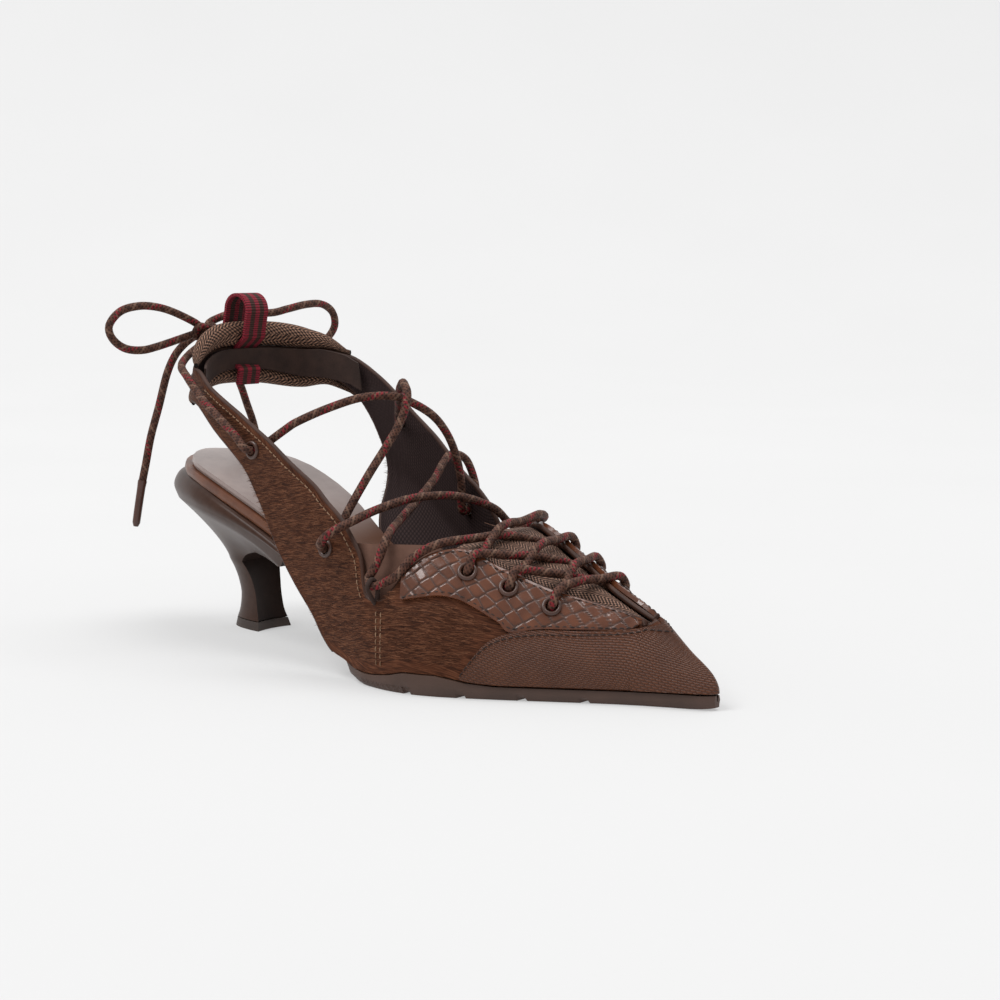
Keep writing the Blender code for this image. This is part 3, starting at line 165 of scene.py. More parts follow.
# Heel, ring by ring from the tip up: back and front of the column and its half width
HeelRow = namedtuple("HeelRow", "up rear front half")
HEEL_COLUMN = table(HeelRow, [
    (3.6, 223.8, 206.0, 7.6), (7.0, 222.4, 207.2, 6.9), (13.0, 221.6, 208.2, 6.6),
    (18.0, 222.6, 209.2, 7.1), (22.5, 224.2, 210.6, 8.1), (26.5, 226.0, 212.4, 9.7),
])
HEEL_CENTRE = 3.4
HEEL_START = 166.3
BREAST_HOLLOW = 1.4

# Flare from the column to the rim: share of the rise, and how far the breast's edge arches over or under it
FlareRow = namedtuple("FlareRow", "rise arch")
FLARE = table(FlareRow, [
    (0.2, 1.8), (0.4, 2.2), (0.6, 0.8), (0.8, -1.6), (0.93, -3.4),
])
FLARE_POWER = 1.35
RIM_TOP_INSET_SIDE, RIM_TOP_INSET_BACK = 1.6, 6.5
RING_FRONT, RING_SIDE = 5, 11
COLUMN_BACK_POWER, COLUMN_SIDE_POWER, RIM_FADE, RIM_LEAST = 1.15, 0.8, 12.0, 0.2

# Eyelets and lace
EYELET_OUTER, EYELET_HOLE = 3.4, 1.9
STRAP_LIFT = 2.6
EyeletRow = namedtuple("EyeletRow", "name side back up")
STAY_EYELETS = table(EyeletRow, [
    ("eyelet_lateral_1", LATERAL, 78.8, 38.9), ("eyelet_lateral_2", LATERAL, 66.2, 34.3),
    ("eyelet_lateral_3", LATERAL, 52.5, 28.9), ("eyelet_medial_1", MEDIAL, 75.5, 39.6),
    ("eyelet_medial_2", MEDIAL, 61.5, 34.5), ("eyelet_medial_3", MEDIAL, 48.5, 30.0),
])
QUARTER_EYELETS = table(EyeletRow, [
    ("eyelet_lateral_mid", LATERAL, 132.4, 43.6), ("eyelet_lateral_upper", LATERAL, 169.5, 74.6),
    ("eyelet_medial_mid", MEDIAL, 132.0, 50.0), ("eyelet_medial_upper", MEDIAL, 167.0, 80.0),
])

# Heel tab
RollRow = namedtuple("RollRow", "name direction half_thick half_high")
ROLLS = table(RollRow, [
    ("heel_roll_top", 1, 3.8, 4.6), ("heel_roll_low", -1, 3.4, 3.2),
])
ROLL_GAP = 0.7
LOOP_WIDTH, LOOP_THICKNESS, LOOP_REACH = 10.5, 1.2, 6.0
LOOP_TOP, LOOP_INNER_END, LOOP_OUTER_END, LOOP_ACROSS = 128.0, 94.0, 109.5, 0.5

# Lace where it runs free: back, across and up of each point on its way
NOTCH_TURN = {
    LATERAL: [(109.6, -41.4, 35.9), (106.8, -42.6, 33.8), (103.6, -40.4, 35.0)],
    MEDIAL: [(105.6, 31.6, 45.0), (108.6, 34.4, 44.6), (111.4, 32.2, 47.0)],
}
FROM_MEDIAL_MID = [
    (135.0, 40.7, 59.0), (137.5, 38.5, 67.5), (138.0, 31.0, 70.0), (136.0, 24.0, 67.0),
    (131.0, 14.0, 62.5), (124.0, -4.0, 56.0),
]
INSTEP = {
    LATERAL: [
        (160.0, -31.5, 82.0), (157.3, -28.2, 84.7), (150.7, -20.4, 89.1), (141.6, -12.7, 93.0),
        (134.9, -4.9, 93.6), (133.1, 2.9, 91.5), (129.2, 10.7, 86.5), (129.1, 18.4, 79.6),
        (129.5, 24.0, 71.0), (131.0, 28.5, 61.0),
    ],
    MEDIAL: [
        (131.7, -31.0, 52.5), (131.0, -20.0, 66.5), (128.8, -7.0, 83.0), (128.8, -2.0, 93.0),
        (133.0, 1.0, 97.4), (138.0, 5.0, 97.5), (146.0, 12.0, 94.0), (158.0, 24.0, 86.5),
    ],
}
KNOT_SPOT = (228.5, -9.1, 114.0)
STRAP_RUN = {
    LATERAL: table(PanelRow, [
        (176.0, 79.6), (183.0, 84.2), (191.0, 88.8), (199.0, 93.6),
    ]),
    MEDIAL: table(PanelRow, [
        (177.0, 82.0), (186.0, 90.0), (195.0, 96.5), (203.0, 101.0),
    ]),
}
STRAP_END = {
    LATERAL: [(209.0, -34.2, 98.6), (217.4, -29.8, 102.0), (223.4, -21.6, 105.4), (227.0, -11.8, 109.4)],
    MEDIAL: [(213.0, 29.4, 103.0), (221.0, 21.0, 104.6), (226.0, 10.0, 104.6), (227.2, 0.0, 105.4),
             (227.4, -6.0, 109.0)],
}
LOOSE_LACE = {
    "bow_left": [(229.2, -13.2, 117.5), (231.0, -22.0, 121.6), (232.5, -29.0, 123.6), (234.0, -36.0, 124.0),
                 (235.6, -43.0, 122.2), (236.8, -47.4, 117.2), (236.4, -46.6, 112.4), (235.2, -42.0, 108.6),
                 (233.8, -35.4, 107.6), (232.4, -28.1, 108.9), (229.8, -14.5, 112.7)],
    "bow_right": [(228.6, -5.2, 117.8), (227.0, 6.0, 120.8), (224.0, 20.6, 120.4), (222.0, 28.0, 121.8),
                  (221.0, 37.0, 123.4), (221.0, 45.6, 123.4), (222.0, 52.6, 120.0), (223.0, 54.6, 114.2),
                  (224.0, 50.2, 108.8), (225.0, 42.0, 106.2), (226.2, 31.0, 107.2), (227.6, 19.0, 110.0),
                  (229.6, 6.0, 111.8), (229.0, -3.8, 112.9)],
    "lace_end_1": [(233.1, -10.2, 111.9), (236.6, -12.2, 109.0), (239.4, -14.6, 104.6), (241.0, -17.4, 97.6),
                   (243.0, -20.0, 85.4), (244.0, -23.4, 74.0), (245.0, -25.3, 63.8), (245.7, -26.6, 57.0)],
    "lace_end_2": [(232.2, -6.4, 110.9), (235.0, -2.2, 107.6), (236.4, 4.0, 104.2), (236.8, 11.5, 99.4),
                   (237.5, 16.5, 92.2), (238.4, 20.7, 84.0), (238.8, 24.6, 75.3), (239.2, 28.9, 60.8),
                   (239.5, 31.0, 53.0)],
}
AGLETS = {
    "aglet_1": [(245.8, -26.8, 56.2), (246.4, -28.2, 47.6), (247.0, -29.4, 39.4)],
    "aglet_2": [(239.55, 31.2, 52.2), (239.8, 33.2, 44.0), (240.0, 35.2, 35.8)],
}


def monotone(xs, ys):
    """Smooth curve through points that never overshoots them."""
    n = len(xs)
    steps = [(ys[i + 1] - ys[i]) / (xs[i + 1] - xs[i]) for i in range(n - 1)]
    slopes = [steps[0]]
    for before, after in zip(steps, steps[1:]):
        slopes.append(0.0 if before * after <= 0 else 2 * before * after / (before + after))
    slopes.append(steps[-1])

    def value(x):
        x = min(max(x, xs[0]), xs[-1])
        i = max(k for k in range(n - 1) if xs[k] <= x)
        width = xs[i + 1] - xs[i]
        s = (x - xs[i]) / width
        return (ys[i] * (1 + 2 * s) * (1 - s) ** 2 + ys[i + 1] * s * s * (3 - 2 * s)
                + width * (slopes[i] * s * (1 - s) ** 2 - slopes[i + 1] * s * s * (1 - s)))

    return value


def column(rows, name, by="back"):
    """One column of a table as a smooth curve along the shoe."""
    return monotone([getattr(row, by) for row in rows], [getattr(row, name) for row in rows])


def mix(a, b, s):
    return a + (b - a) * s


def ease(s):
    s = min(max(s, 0.0), 1.0)
    return s * s * (3 - 2 * s)


sole_side = {LATERAL: column(SOLE, "lateral"), MEDIAL: column(SOLE, "medial")}
sole_under = column(SOLE, "under")
sole_edge = column(SOLE, "edge")
wall_side = {LATERAL: column(WALL, "lateral"), MEDIAL: column(WALL, "medial")}
wall_ridge = column(WALL, "ridge")
wall_spine = column(WALL, "spine")
throat_edge = {side: column(rows, "top_up", "top_back") for side, rows in EDGES.items()}


def place(back, across, up):
    """A point in the design frame, +X towards the toe."""
    return Vector((-back, across, up))


def sling_across(side, back):
    reach = min(max((back - SLING_START) / (SLING_BACK - SLING_START), 0.0), 1.0)
    return SLING_CENTRE + side * SLING_HALF * (1 - reach ** SLING_POWER) ** (1 / SLING_POWER)


def wall_base(back):
    return sole_edge(back) + GAP if back < WAIST_START else WALL_BASE


def wall_half(side, back):
    if back > SLING_START:
        return abs(sling_across(side, back) - SLING_CENTRE)
    return abs(wall_side[side](back) - wall_spine(back))


def roundness(side, back):
    """Power of the section's curve, which is sharper towards the toe."""
    return mix(TOE_ROUNDNESS, ROUNDNESS[side], ease(back / TOE_REACH))


def tuck(side, back, up):
    """How far the medial wall draws in to the narrow waist of the sole."""
    if side == LATERAL or back < SOLE[8].back:
        return 0.0
    full = wall_side[side](back) - (sole_side[side](back) - FEATHER_INSET)
    return max(full, 0.0) * (1 - ease((up - sole_edge(back)) / TUCK_HEIGHT))


def wall_at_height(side, back, up):
    """Point of the upper's outer face at a height."""
    power = roundness(side, back)
    share = min(max((up - wall_base(back)) / (wall_ridge(back) - wall_base(back)), 0.0), 1.0)
    reach = wall_half(side, back) * (1 - share ** power) ** (1 / power)
    across = wall_spine(back) + side * (reach - tuck(side, back, up))
    skew = SLING_SKEW * (across - SLING_CENTRE) * ease((back - SLING_START) / (SLING_BACK - SLING_START))
    lean = SLING_LEAN * max(up - SLING_LEAN_FROM, 0.0)
    return place(back - skew - lean, across, up)


def wall_at_angle(side, back, angle):
    """Point of the upper's outer face at an angle over the section, 0 at the sole and 90 at the ridge."""
    share = math.sin(math.radians(angle)) ** (2 / roundness(side, back))
    return wall_at_height(side, back, mix(wall_base(back), wall_ridge(back), share))


def angle_at_height(side, back, up):
    share = min(max((up - wall_base(back)) / (wall_ridge(back) - wall_base(back)), 0.0), 1.0)
    return math.degrees(math.asin(share ** (roundness(side, back) / 2)))


def sling_point(side, angle, up):
    """Point of the sling's outer face by its angle round the back."""
    turn = math.radians(angle)
    back = mix(SLING_START, SLING_BACK, math.sin(turn) ** (2 / SLING_POWER))
    across = SLING_CENTRE + side * SLING_HALF * math.cos(turn) ** (2 / SLING_POWER)
    skew = SLING_SKEW * (across - SLING_CENTRE) * ease((back - SLING_START) / (SLING_BACK - SLING_START))
    return place(back - skew - SLING_LEAN * max(up - SLING_LEAN_FROM, 0.0), across, up)


def offset_grid(grid, distance, closed=False):
    """Copy of a grid of points moved along its outward normals."""
    count = len(grid)
    moved = []
    for k, line in enumerate(grid):
        before = grid[(k - 1) % count] if closed else grid[max(k - 1, 0)]
        after = grid[(k + 1) % count] if closed else grid[min(k + 1, count - 1)]
        out = []
        for m, point in enumerate(line):
            along = after[m] - before[m]
            rise = line[min(m + 1, len(line) - 1)] - line[max(m - 1, 0)]
            out.append(point + along.cross(rise).normalized() * distance)
        moved.append(out)
    return moved


def wall_column(side, row):
    """Points of the wall from its lower edge to its top edge."""
    on_sole = row.low_up is None
    low_up = sole_edge(row.low_back) + GAP if on_sole else row.low_up
    by_angle = on_sole and row.low_back < WAIST_START
    top_angle = angle_at_height(side, row.top_back, row.top_up)
    line = []
    for m in range(WALL_ROWS):
        s = m / (WALL_ROWS - 1)
        back = mix(row.low_back, row.top_back, s)
        if by_angle:
            line.append(wall_at_angle(side, back, top_angle * s))
        else:
            line.append(wall_at_height(side, back, mix(low_up, row.top_up, s)))
    return line


def fan_column(side, share, start=0.0, end=1.0):
    """Column of the toe: all of them run up to the point of the throat."""
    first = EDGES[side][0]
    low_back = mix(WALL[0].back, first.low_back, share ** FAN_SPREAD)
    top_back = mix(THROAT_POINT, first.top_back, 1 - math.cos(share * math.pi / 2))
    top_half = mix(0.0, THROAT_HALF, math.sin(share * math.pi / 2))
    reach = min(top_half / wall_half(side, top_back), 1.0)
    top_angle = math.degrees(math.acos(reach ** (roundness(side, top_back) / 2)))
    bend = mix(FAN_BEND, 1.0, share)
    line = []
    for m in range(WALL_ROWS):
        s = mix(start, end, m / (WALL_ROWS - 1))
        point = wall_at_angle(side, mix(low_back, top_back, s ** bend), top_angle * (1 - (1 - s) ** bend))
        if share == 0.0:
            point.y = wall_spine(-point.x)
        line.append(point)
    return line


def back_column(side, angle):
    """Column of the sling by its angle round the back of the heel."""
    last = EDGES[side][-1]
    reach = (last.top_back - SLING_START) / (SLING_BACK - SLING_START)
    first_angle = math.degrees(math.asin(reach ** (SLING_POWER / 2)))
    s = ease((angle - first_angle) / (90 - first_angle))
    low, top = mix(last.low_up, BAND_LOW, s), mix(last.top_up, BAND_TOP, s)
    return [sling_point(side, angle, mix(low, top, m / (WALL_ROWS - 1))) for m in range(WALL_ROWS)]


def upper_grid():
    """Outer face of the upper: a ring of columns from the back of the heel round the toe and back."""
    fans = [i / FAN_STEPS for i in range(1, FAN_STEPS)]
    lateral = [back_column(LATERAL, a) for a in [90] + BACK_ANGLES[::-1]]
    lateral += [wall_column(LATERAL, row) for row in reversed(EDGES[LATERAL])]
    lateral += [fan_column(LATERAL, s) for s in reversed(fans)] + [fan_column(LATERAL, 0.0)]
    medial = [fan_column(MEDIAL, s) for s in fans]
    medial += [wall_column(MEDIAL, row) for row in EDGES[MEDIAL]]
    medial += [back_column(MEDIAL, a) for a in BACK_ANGLES]
    return lateral + medial


def panel_line(side, low_back, low_up, top_back, top_up, rows=WALL_ROWS):
    low = angle_at_height(side, low_back, low_up)
    high = angle_at_height(side, top_back, top_up)
    steps = [m / (rows - 1) for m in range(rows)]
    return [wall_at_angle(side, mix(low_back, top_back, s), mix(low, high, s)) for s in steps]


def ring_of(front_back, side_point):
    """Ring with a straight front edge and a curved side on each hand."""
    ring = []
    corner = {side: side_point(side, 0.0) for side in (LATERAL, MEDIAL)}
    middle = (corner[LATERAL] + corner[MEDIAL]) / 2
    ring += [middle.lerp(corner[LATERAL], i / RING_FRONT) for i in range(RING_FRONT)]
    ring += [side_point(LATERAL, i / RING_SIDE) for i in range(RING_SIDE)]
    ring.append((side_point(LATERAL, 1.0) + side_point(MEDIAL, 1.0)) / 2)
    ring += [side_point(MEDIAL, i / RING_SIDE) for i in reversed(range(RING_SIDE))]
    ring += [middle.lerp(corner[MEDIAL], i / RING_FRONT) for i in reversed(range(1, RING_FRONT))]
    for point in ring:
        point.x = min(point.x, -front_back)
    return ring


def column_ring(row):
    """Level section of the heel's column: hollow breast, round back."""
    def side_point(side, s):
        turn = s * math.pi / 2
        back = mix(row.front, row.rear, math.sin(turn) ** COLUMN_BACK_POWER)
        across = HEEL_CENTRE + side * row.half * math.cos(turn) ** COLUMN_SIDE_POWER
        return place(back, across, row.up)
    ring = ring_of(row.front, side_point)
    for i in list(range(RING_FRONT)) + list(range(1 - RING_FRONT, 0)):
        ring[i].x -= BREAST_HOLLOW * (1 - (i / RING_FRONT) ** 2)
    return ring


def rim_ring(height, side_inset, back_inset):
    """Outline of the heel seat at a height that follows the seat."""
    def side_point(side, s):
        end = SHOE_LENGTH - back_inset
        back = mix(HEEL_START, end, math.sin(s * math.pi / 2))
        shrink = (end - HEEL_START) / (SHOE_LENGTH - HEEL_START)
        sample = HEEL_START + (back - HEEL_START) / shrink
        out = sole_side[side](sample)
        middle = (sole_side[LATERAL](sample) + sole_side[MEDIAL](sample)) / 2
        wide = abs(out - middle)
        half = max(wide - side_inset * min(1.0, wide / RIM_FADE), RIM_LEAST)
        across = middle + side * half if s < 1.0 else middle
        return place(back, across, height(back))
    return ring_of(HEEL_START, side_point)


def wall_normal(side, back, up):
    along = wall_at_height(side, back - 1.0, up) - wall_at_height(side, back + 1.0, up)
    rise = wall_at_height(side, back, up + 1.0) - wall_at_height(side, back, up - 1.0)
    return (along.cross(rise) * -side).normalized()


def on_wall(row, lift):
    return wall_at_height(row.side, row.back, row.up) + wall_normal(row.side, row.back, row.up) * lift


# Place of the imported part: its sole's toe tip is back 0
SOLE_LOW, SOLE_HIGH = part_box("outsole")
SHIFT = Vector((SOLE_HIGH.x / MM, SOLE_LOW.y / MM - min(row.lateral for row in SOLE), 0.0))
HANDS = ((LATERAL, "lateral"), (MEDIAL, "medial"))

# Thread, embossed scales, hair and folded edges
STITCH_LENGTH, STITCH_GAP, STITCH_RADIUS, STITCH_ARCH, STITCH_SINK = 1.5, 0.8, 0.21, 0.28, 0.18
STITCH_SHARES, STITCH_SIDES, EDGE_CENTRE_DROP = (0.0, 0.2, 0.5, 0.8, 1.0), 5, 25.0
CAP_STITCH_LIFT, STAY_STITCH_LIFT, QUARTER_STITCH_LIFT, SEAM_STITCH_LIFT = 0.1, -0.1, 0.3, 0.25
SEAM_SPOTS, SEAM_SHIFTS = [(103.5, 26.0), (102.5, 20.0), (101.5, 12.0), (101.0, 7.2)], (0.0, 2.2)
QUARTER_ROWS, QUARTER_IN, QUARTER_DROP = slice(14, 30), 1.7, 0.9
SCALE_SIZE, SCALE_RISE, SCALE_GROOVE, SCALE_TURN = 4.5, 0.24, 0.9, 0.6
SCALE_ROW, SCALE_STAGGER, SCALE_FIELD, SCALE_SLOPE, SCALE_FADE = 0.84, 0.08, 150.0, 0.75, 4.0
SCALE_WANDER, ROW_WANDER, SCALE_TILT, SCALE_SEED = 0.35, 0.25, 0.07, 4
HAIR_COUNT, HAIR_LENGTH, HAIR_WIDTH, HAIR_TILT, HAIR_SEED = 46000, 4.0, 0.18, 0.06, 11
HAIR_LOW_MARGIN, HAIR_TOP_MARGIN, HAIR_CLEAR = 4.2, 1.6, 2.4
HAIR_DROOP, HAIR_DROOP_SPREAD, HAIR_TURN_SPREAD = -0.1, 0.2, 0.12
HAIR_LENGTHS, HAIR_LIFTS, HAIR_MIDDLE_LIFT, HAIR_TIP_LIFT, HAIR_TAPER = (0.6, 1.2), (0.5, 1.6), 0.62, 0.8, 0.8
BINDING_RADIUS, EDGE_SIDES, LATERAL_END, MEDIAL_END = 0.95, 8, 3.0, 2.0

# Panels, tongue, lip and heel tab
PANEL_SEAT, HOLE_MARGIN, STAY_HOLE_MARGIN = 0.15, 0.5, 0.4
VISUAL_NOSE_END, VISUAL_SIDE_END, CAP_LEAN = 0.97, 0.88, 0.8
SEAM_GAP, STAY_TIP, TIP_LEAN, TIP_HEIGHT = 0.3, 26.6, 1.0, 1.2
VISUAL_MARGIN, STAY_LEAN, STAY_LEAST = 0.4, 2.0, 1.5
VISUAL_TONGUE_DEPTH, VISUAL_TONGUE_CROWN, TONGUE_TILT, TONGUE_TAIL = 4.8, 3.4, 2.2, 3.0
TONGUE_NOSE, TONGUE_NOSE_REACH = 45.0, 15.0
LIP_DEPTH, LIP_THICKNESS, LIP_LAP, LIP_STATIONS = 2.2, 0.9, 4.0, 13
LIP_TOP = {
    LATERAL: table(PanelRow, [
        (82.0, 43.5), (88.0, 46.4), (94.0, 48.1), (102.0, 47.8), (115.4, 46.9), (122.0, 46.4),
    ]),
    MEDIAL: table(PanelRow, [
        (88.0, 47.0), (94.0, 47.4), (100.0, 46.4), (108.0, 45.2), (116.0, 45.4), (122.0, 46.0),
    ]),
}
QUARTERS = (0.0, 0.25, 0.5, 0.75, 1.0)
ROLL_REACH, ROLL_SIDES, ROLL_LEAST, ROLL_FILL = 2, 20, 0.2, 0.8
BAND_REACH, BAND_INSET, BAND_THICKNESS, BAND_HIGH, BAND_SHARES = 3, 4.8, 0.8, 9.0, (-0.1, 0.3, 0.7, 1.1)
TUCK_IN, TUCK_LOW, TUCK_TOP = 3.9, (99.5, 3.0), (112.0, 4.0)

# Lace, eyelets and heel
RING_STEPS, RING_CURVE = 28, 6
RING_SEAT, RING_RISE, RING_CROWN, RING_WALL, RING_TAIL = 0.1, 0.3, 0.75, 0.35, 0.4
LACE_SKIN, LACE_SIDES, LACE_STEP, LOOSE_STEP = 1.5, 10, 1.1, 1.2
ROUTE_STEPS, TINY = 16, 1e-9
STRAND_SHARES = [0.3, 0.5, 0.7]
UPPER_LIFTS, MEDIAL_LIFTS, LATERAL_LIFTS = (1.0, -2.0), (-4.6, -1.0, 1.6), (1.4, -1.0, -4.2)
MEDIAL_OUT, MEDIAL_SWING, STRAP_OUT, STRAP_SWING = 3.6, (-1.0, 0.0, 3.5), 0.6, (-1.2, 0.0, 0.6)
LACE_HIGH, LACE_LOW, LACE_BAR = 4.7, 1.7, 3.0
DOWN_STRANDS = (((MEDIAL, 1), (LATERAL, 2), LACE_HIGH), ((LATERAL, 2), (MEDIAL, 3), LACE_LOW))
UP_STRANDS = (((LATERAL, 3), (MEDIAL, 2), LACE_HIGH), ((MEDIAL, 2), (LATERAL, 1), LACE_LOW))
COME_UP = [(7.0, -3.4), (2.0, -3.4), (0.0, -1.2), (0.1, 1.4), (1.8, 3.1), (6.6, 3.1)]
FORE_CLIMB = [(98.7, -38.9, 38.1), (95.2, -34.6, 43.9), (89.4, -28.2, 48.2)]
REAR_CLIMB = [(117.0, -20.0, 51.5), (110.5, -30.0, 50.4), (107.2, -35.2, 49.0), (106.6, -38.8, 44.0),
              (107.6, -40.7, 39.5)]
MEDIAL_TURN = [(89.0, 23.0, 52.8), (94.0, 31.0, 50.0)]
LATERAL_MID_WAY = [(111.6, 24.0, 53.0), (114.0, 8.0, 58.5), (117.0, -10.0, 59.5), (119.4, -26.0, 57.0),
                   (121.4, -38.0, 53.4), (124.2, -44.8, 50.2), (128.6, -45.2, 46.4)]
KNOT_SHARE, KNOT_STEPS, KNOT_REACH, KNOT_WIDE, KNOT_DEEP = 0.35, 90, 1.25, 1.1, 1.6
AGLET_SHARES, AGLET_RADII = [0.0, 0.06, 0.1, 0.92, 1.0], [1.75, 1.85, 1.6, 1.5, 0.9]
AGLET_STEP, AGLET_SIDES = 1.5, 12
HOOP_RADIUS, HOOP_STEP, HOOP_HALF, HOOP_WAIST, HOOP_FOOT = 0.77, 0.8, 2.4, 1.6, 1.0
HOOP_LEG = ((0.0, 0.0), (0.5, HOOP_WAIST), (1.0, HOOP_HALF))
NOTCH_FROM, NOTCH_TO = 100.0, 112.0
HEEL_LEVELS, FLARE_LEVELS, HEEL_FRONT_STEPS, HEEL_SIDE_STEPS, RIM_STEPS = 12, 18, 3, 4, 5
RimRow = namedtuple("RimRow", "share side_inset back_inset")
RIM = table(RimRow, [
    (0.0, 0.8, 1.6), (0.4, 0.0, 0.0), (0.8, 0.5, 2.6), (1.0, RIM_TOP_INSET_SIDE, RIM_TOP_INSET_BACK),
])
SOFT_ANGLE, WELD_DISTANCE, SHARP, ROUND_SHARP, HEEL_SHARP = 0.6, 0.00001, 50.0, 60.0, 38.0
DRESSED = (("outsole", "rubber"), ("heel_top_piece", "tip"), ("rand", "rand"), ("insole", "sock"))

# Studio light and the photo's camera
WORLD_LIGHT, FLOOR_GLOW = 0.5, 0.4
LightRow = namedtuple("LightRow", "name spot size power")
LIGHTS = table(LightRow, [("key", (-1.5, -2.4, 4.2), 2.4, 145.0), ("top", (0.8, 1.6, 4.8), 3.2, 128.0)])
FLOOR_NEAR, FLOOR_BEND, FLOOR_HALF, FLOOR_TOP, BEND_STEPS = -2.5, 1.2, 4.0, 4.0, 8
EYE, TARGET = place(-332.9, -487.4, 142.9), place(87.509, 0.0, 60.14)
LENS, SENSOR, CLIP_START = 68.65, 36.0, 0.01


def to_row(point):
    """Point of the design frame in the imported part's frame, in metres."""
    return (point + SHIFT) * MM


def places(spots):
    return [place(*spot) for spot in spots]


class Value:
    """Number that shader nodes work out; it takes arithmetic as a plain number does."""

    def __init__(self, tree, socket):
        self.tree, self.socket = tree, socket

    def math(self, operation, b=0.0, c=0.0):
        return node(self.tree, "ShaderNodeMath", 0, {0: self, 1: b, 2: c}, operation=operation)

    def __add__(self, other):
        return self.math("ADD", other)

    def __sub__(self, other):
        return self.math("SUBTRACT", other)

    def __rsub__(self, other):
        return node(self.tree, "ShaderNodeMath", 0, {0: other, 1: self}, operation="SUBTRACT")

    def __mul__(self, other):
        return self.math("MULTIPLY", other)

    def __truediv__(self, other):
        return self.math("DIVIDE", other)

    def __pow__(self, other):
        return self.math("POWER", other)

    def __lt__(self, other):
        return self.math("LESS_THAN", other)

    def __gt__(self, other):
        return self.math("GREATER_THAN", other)

    def wave(self, period):
        """Half sines side by side, from 0 to 1."""
        return (self * (math.pi / period)).math("SINE").math("ABSOLUTE")


def node(tree, kind, output, inputs=None, **settings):
    """Output of a new shader node with its settings and inputs; an input may be a Value."""
    made = tree.nodes.new(kind)
    for key, value in settings.items():
        setattr(made, key, value)
    for key, value in (inputs or {}).items():
        if isinstance(value, Value):
            tree.links.new(value.socket, made.inputs[key])
        else:
            made.inputs[key].default_value = value
    return Value(tree, made.outputs[output])


class Skin:
    """Material with a Principled shader; sockets that are the same all over are set on the shader itself."""

    def __init__(self, name, roughness, **sockets):
        self.made = bpy.data.materials.new(name)
        self.made.use_nodes = True
        self.tree = self.made.node_tree
        self.shader = self.tree.nodes["Principled BSDF"]
        self.shader.inputs["Roughness"].default_value = roughness
        for key, value in sockets.items():
            self.shader.inputs[key.replace("_", " ")].default_value = value

    def node(self, kind, output, inputs=None, **settings):
        return node(self.tree, kind, output, inputs, **settings)

    def axes(self, space):
        """Axes of the uv map, in millimetres along and up a piece, or of the object, in metres."""
        spot = self.node("ShaderNodeTexCoord", space)
        return [self.node("ShaderNodeSeparateXYZ", axis, {"Vector": spot}) for axis in "XYZ"]

    def noise(self, scale, detail=3.0):
        """Noise over the object's own coordinates; scale is per metre."""
        spot = self.node("ShaderNodeTexCoord", "Object")
        return self.node("ShaderNodeTexNoise", "Fac", {"Vector": spot, "Scale": scale, "Detail": detail})

    def noise_on(self, x, y, detail=3.0):
        """Noise over two worked-out axes."""
        spot = self.node("ShaderNodeCombineXYZ", 0, {"X": x, "Y": y})
        return self.node("ShaderNodeTexNoise", "Fac", {"Vector": spot, "Scale": 1.0, "Detail": detail})

    def ramp(self, factor, *stops):
        """Colour ramp through (place, colour) stops."""
        colour = self.node("ShaderNodeValToRGB", "Color", {"Fac": factor})
        bar = colour.socket.node.color_ramp.elements
        while len(bar) < len(stops):
            bar.new(0.5)
        for element, (spot, tone) in zip(bar, stops):
            element.position = spot
            element.color = (*tone, 1.0)
        return colour

    def mottle(self, tone, dark, light):
        return self.ramp(tone, (0.3, dark), (0.7, light))

    def blend(self, factor, a, b):
        inputs = {0: factor}
        for key, tone in ((6, a), (7, b)):
            inputs[key] = (*tone, 1.0) if isinstance(tone, tuple) else tone
        return self.node("ShaderNodeMix", 2, inputs, data_type="RGBA")

    def finish(self, colour, height=None, distance=0.2, strength=1.0, roughness=None):
        """Join colour, bump height and roughness to the shader; the bump's distance is in millimetres."""
        ways = {"Base Color": colour, "Roughness": roughness}
        if height is not None:
            bump = {"Height": height, "Distance": distance * MM, "Strength": strength}
            ways["Normal"] = self.node("ShaderNodeBump", "Normal", bump)
        for key, value in ways.items():
            if value is not None:
                self.tree.links.new(value.socket, self.shader.inputs[key])
        return self.made


def hair_material():
    """Hair side of a hide: fine streaks along the shoe."""
    skin = Skin("hair_calf", 0.6, Specular_IOR_Level=0.12)
    along, up, _ = skin.axes("UV")
    per_along, per_up, slant = 0.17, 1.9, 0.12
    streak = skin.noise_on(along * per_along, (up + along * slant) * per_up, detail=4.0)
    patch_share = 0.2
    tone = streak * (1 - patch_share) + skin.noise(45.0, detail=2.0) * patch_share
    colour = skin.ramp(tone, (0.36, (0.034, 0.0105, 0.0042)), (0.5, (0.08, 0.0255, 0.011)),
                       (0.63, (0.15, 0.055, 0.026)))
    return skin.finish(colour, streak, distance=0.35, strength=0.6)


def strand_material():
    """Single hairs, each with its own tone."""
    skin = Skin("hair_strand", 0.5, Specular_IOR_Level=0.15)
    tone = skin.axes("UV")[0]
    return skin.finish(skin.ramp(tone, (0.0, (0.028, 0.0085, 0.004)), (0.55, (0.085, 0.028, 0.0125)),
                                 (1.0, (0.22, 0.09, 0.046))))


